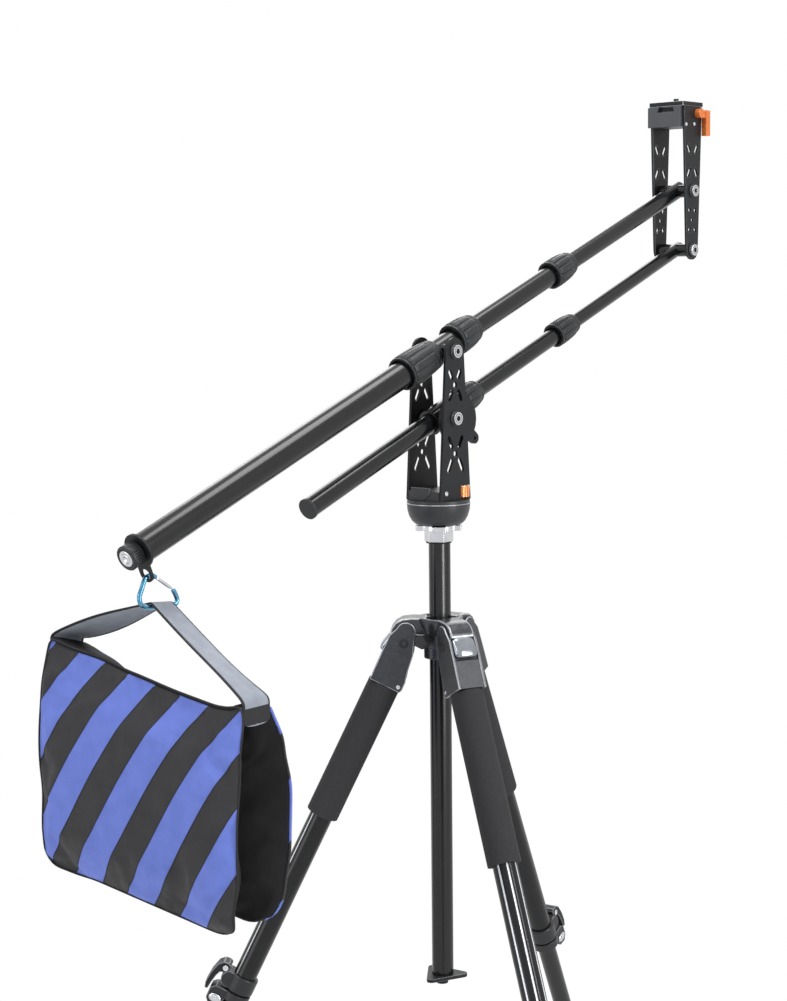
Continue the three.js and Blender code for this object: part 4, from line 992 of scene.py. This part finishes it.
# Crown and shoulders: arms that curve down over the leg hinges, between the shoulders' cheeks
ARM_HALF, CHEEK_HALF = 13.4, 16.4
ARM_TOP = [(-24, 26.6), (-8, 26.8), (2, 25.6), (9, 21.8), (13.2, 16.4), (14.6, 12)]
ARM_LOW = [(-24, 8), (-14, 8), (-7, 10), (-1, 11), (6, 7.5), (11, 8.5)]
CHEEK = [(17.5, 2), (17.4, -20), (16.6, -50), (-18, -50.5), (-19.6, -47), (-19.4, -38), (-17, -28),
         (-15.5, -16), (-14.5, -8), (-11.5, 0)]
CORE = [(15, -18.8), (17, -19.6), (16.2, -49.7), (-17.6, -50), (-19, -46), (-18.9, -38), (-16.5, -28),
        (-15, -18)]
LUG, LUG_HALF = [(-20, 10), (-20, -4.4), (-12.2, -4.4)], 6
CHEEK_TOP = (3, 12, 10.5)
RECESS = 13.2
HUB = [(-326, 16.2), (-325.4, 16.8), (-314, 16.8), (-313, 18.5), (-306, 19.5), (-296, 20), (-290, 23.4),
       (-283, 25), (-281.6, 24), (-281.6, 20.4), (-283.4, 19.6), (-283.4, 14.4), (-326, 14.4)]


def arc_points(x, y, radius, start, end, steps):
    turns = [radians(start + (end - start) * i / steps) for i in range(steps + 1)]
    return [(x + radius * cos(t), y + radius * sin(t)) for t in turns]


def build_crown():
    hub = turned_piece("crown_hub", pan_origin, UP, HUB, crown_metal, "crown", sides=72, loop=True,
                       edge=0.5)
    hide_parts("crown")
    for number in LEGS:
        hinge = joint_place(f"leg_fold_{number}")
        spoke = hinge - pan_origin
        at = Place(hinge, Vector((spoke.x, spoke.y, 0)).normalized(), UP).at
        extruded(f"crown_arm_{number}", ARM_TOP + ARM_LOW[::-1], at, -ARM_HALF, ARM_HALF, crown_metal,
                 "crown", 1.6, painted_edge_highlight)
        extruded(f"crown_lug_{number}", arc_points(0, 0, 10, -90, 90, 10) + LUG, at, -LUG_HALF, LUG_HALF,
                 crown_metal, "crown", 0.6, crown_metal)


def build_shoulder(leg):
    name = f"leg_shoulder_{leg.number}"
    inner = CORE + arc_points(0, 0, RECESS, 205, 335, 12) + [(15, -6)]
    half = ARM_HALF + 0.4
    core = extruded(name + "_core", inner, leg.at, -half, half, casting, leg.body, 0.8, casting)
    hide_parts(name)
    x, y, radius = CHEEK_TOP
    outline = CHEEK + arc_points(x, y, radius, 180, 0, 14)
    for side, hand in HANDS:
        low, high = sorted((side * (ARM_HALF + 0.2), side * CHEEK_HALF))
        extruded(f"{name}_cheek_{hand}", outline, leg.at, low, high, casting, leg.body, 1,
                 painted_edge_highlight)
        side_screw(leg, f"{name}_screw_{hand}", side, (-14.5, CHEEK_HALF, -45), 2.2, 0.9, leg.body)


TAB_CROWN = ((0.97, -0.2), (1, 0.4), (1, 1.4), (0.96, 2.4), (0.86, 3.1), (0.6, 3.6), (0.3, 3.9), (0.04, 4))
TAB_HALVES, TAB_SIDES, TAB_SQUARE = (13, 11.3), 64, 2 / 5


def squared(value):
    return abs(value) ** TAB_SQUARE * (1 if value > 0 else -1)


def build_tab(leg):
    """The chrome tab: a crowned plate with rounded corners."""
    rings = []
    for share, rise in TAB_CROWN:
        ring = []
        for turn in turns_of(TAB_SIDES):
            wide = squared(cos(turn)) * TAB_HALVES[0] * share
            tall = squared(sin(turn)) * TAB_HALVES[1] * share
            full = 1 + 0.9 * eased(0.5 - tall / 22)
            ring.append(leg.at(15 + rise * full, wide, -6.5 + tall))
        rings.append(ring)
    piece = skin(f"leg_tab_plate_{leg.number}", rings, chrome, f"leg_tab_{leg.number}")
    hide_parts(f"leg_angle_tab_{leg.number}")


LEG_LENGTH, FOOT_HEIGHT = 735, 27


def leg_lower_finish(leg):
    made = Finish(f"leg_lower_{leg.number}", 0.3, specular=0.45)
    share = made.math("LESS_THAN", made.along(leg.up, leg.origin), (FOOT_HEIGHT - LEG_LENGTH) * MM)
    made.colour(made.blend(share, srgb("141517"), srgb("1d1d1e")))
    made.roughness(share, 0.28, 0.8)
    made.bump(made.noise(900, 2), 0.12)
    return made.material


def build_leg_finish(leg):
    dress(nodes[f"leg_lower_tube_{leg.number}"], leg_lower_finish(leg), 0.6)


# Small fittings
NEAR = Vector((0, -1, 0))
FAR = Vector((0, 1, 0))
PLATE_BACK = 24.25
# Each screw's name, its side, and its place along and above its body's pivot
SCREWS = {
    "head": (("fulcrum_foot_screw", NEAR, -16, -148), ("fulcrum_foot_screw_far_rear", FAR, -16, -148),
             ("fulcrum_foot_screw_far_front", FAR, 16, -148)),
    "bracket": (("bracket_deck_screw_rear", NEAR, -15, 77.5), ("bracket_deck_screw_front", NEAR, 2, 78.4),
                ("bracket_deck_screw_far_front", FAR, 8, 80)),
}
# Each body's pivot, and the radius and height of its screws' heads
SCREW_HEADS = {"head": ("boom_tilt", 2.5, 1.1), "bracket": ("bracket_level", 2.2, 0.9)}


def build_screws():
    for body, screws in SCREWS.items():
        pivot, radius, height = SCREW_HEADS[body]
        for name, way, x, z in screws:
            place = joint_place(pivot) + Vector((x, way.y * PLATE_BACK, z)) * MM
            screw(name, place, way, radius, height, body)


KNOB_RIBS = 30


def build_tail_knob():
    """A ribbed knob with a smooth rim and a silver inlay."""
    place, way = joint_place("tail_knob_turn"), joint_axis("tail_knob_turn")
    if (bag_origin - place).dot(way) > 0 or way.x > 0:
        way = -way
    reach = max((p - place).dot(way) for p in points_of("tail_knob")) / MM
    foot = reach - 13.4

    def ribs(turn):
        return 1 - 0.055 * eased(abs(turn * KNOB_RIBS / FULL_TURN % 1 - 0.5) * 4 - 0.5)

    profile = [(foot, 10.4), (foot + 0.6, (12, ribs)), (foot + 8.4, (12, ribs)), (foot + 8.8, 12),
               (reach - 1.2, 12.2), (reach - 0.2, 11.6), (reach, 10.8), (reach, 8.9), (reach - 0.7, 8.7),
               (reach - 0.7, 0.1)]
    knob = turned_piece("tail_knob_ribbed", place, way, profile, dark_plastic_and_painted_shade, "tail_knob",
                        sides=240)
    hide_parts("tail_knob")
    turned_piece("tail_knob_neck", place, way, hoop(foot - 1.6, foot + 0.3, 9, 0.1), dark_plastic_and_painted_shade,
                 "tail_knob", sides=48)
    inlay = [(reach - 0.9, 8.2), (reach + 0.1, 8.2), (reach + 0.4, 7.6), (reach + 0.4, 5.4), (reach, 5),
             (reach, 4.4), (reach + 0.5, 4), (reach + 0.5, (2.6, hexagon)), (reach - 0.6, (2.4, hexagon)),
             (reach - 0.6, 0.1)]
    turned_piece("tail_knob_inlay", place, way, inlay, bright_metal, "tail_knob", sides=72)


BOLTS = {"pivot_bolt_upper": "head", "pivot_bolt_lower": "head", "camera_bolt_upper": "bracket",
         "camera_bolt_lower": "bracket"}
# A black hexagonal plug over each bolt's socket: painted shade in the socket
BOLT_SOCKET_SHADE = hoop(-2.2, 0.05, (2.9, hexagon), 0.1)
# A thin dark ring raised on each bolt's face: painted shade for a groove
BOLT_GROOVE_SHADE = hoop(-0.2, 0.06, 4.5, 5.1)
WASHER = [(-0.1, 4.6), (1, 4.6), (1, 8.1), (-0.1, 8.3)]


def build_bolt_faces():
    """The socket, a black hexagon of painted shade; the groove, a thin dark ring of painted shade; and the
    washer of each bolt.
    """
    for name, body in BOLTS.items():
        points = points_of(name)
        face = min(p.y for p in points)
        heads = [p for p in points if p.y < face + 1 * MM]
        centre = sum(heads, Vector()) / len(heads)
        centre.y = face
        turned_piece(name + "_socket", centre, NEAR, BOLT_SOCKET_SHADE, painted_shade_black, body, sides=36)
        for part, start, profile in (("groove", centre, BOLT_GROOVE_SHADE),
                                     ("washer", centre + FAR * 4.2 * MM, WASHER)):
            turned_piece(f"{name}_{part}", start, NEAR, profile, dark_plastic_and_painted_shade, body, sides=48,
                         loop=True)


def build_base_trim():
    """The seam between the bowl and the turning base, painted bright as a highlight line, and the half disc
    on the base's rear face.
    """
    rim = max(hypot(p.x - pan_origin.x, p.y - pan_origin.y) for p in points_of("bowl")) / MM
    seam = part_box("pan_base")[0].z / MM - pan_origin.z / MM
    profile = hoop(seam - 0.8, seam + 0.1, rim + 0.15, rim - 1.2)
    turned_piece("bowl_seam", pan_origin, UP, profile, painted_edge_highlight, "head", sides=96, loop=True)
    outline = arc_points(3.6, -142.4, 13.4, 180, 360, 18)
    rings = [[pan_origin + Vector((x, y, z)) * MM for y, z in outline] for x in (-24.9, -23.6)]
    relief = skin("base_relief", rings, bowl_black, "head")
    relief.data.materials.append(painted_soft_edge_highlight)
    round_edges(relief, 0.5 * MM, 2, 1)


right_way, forward_way = build_camera()
build_stage(right_way, forward_way)
dress_nodes()
for name in COLLARS:
    build_collar(name)
build_flange(right_way)
for number in LEGS:
    leg = Leg(number)
    for build in (build_leg, build_shoulder, build_tab, build_leg_finish):
        build(leg)
build_crown()
build_strap()
build_bag()
build_screws()
build_tail_knob()
build_bolt_faces()
build_base_trim()
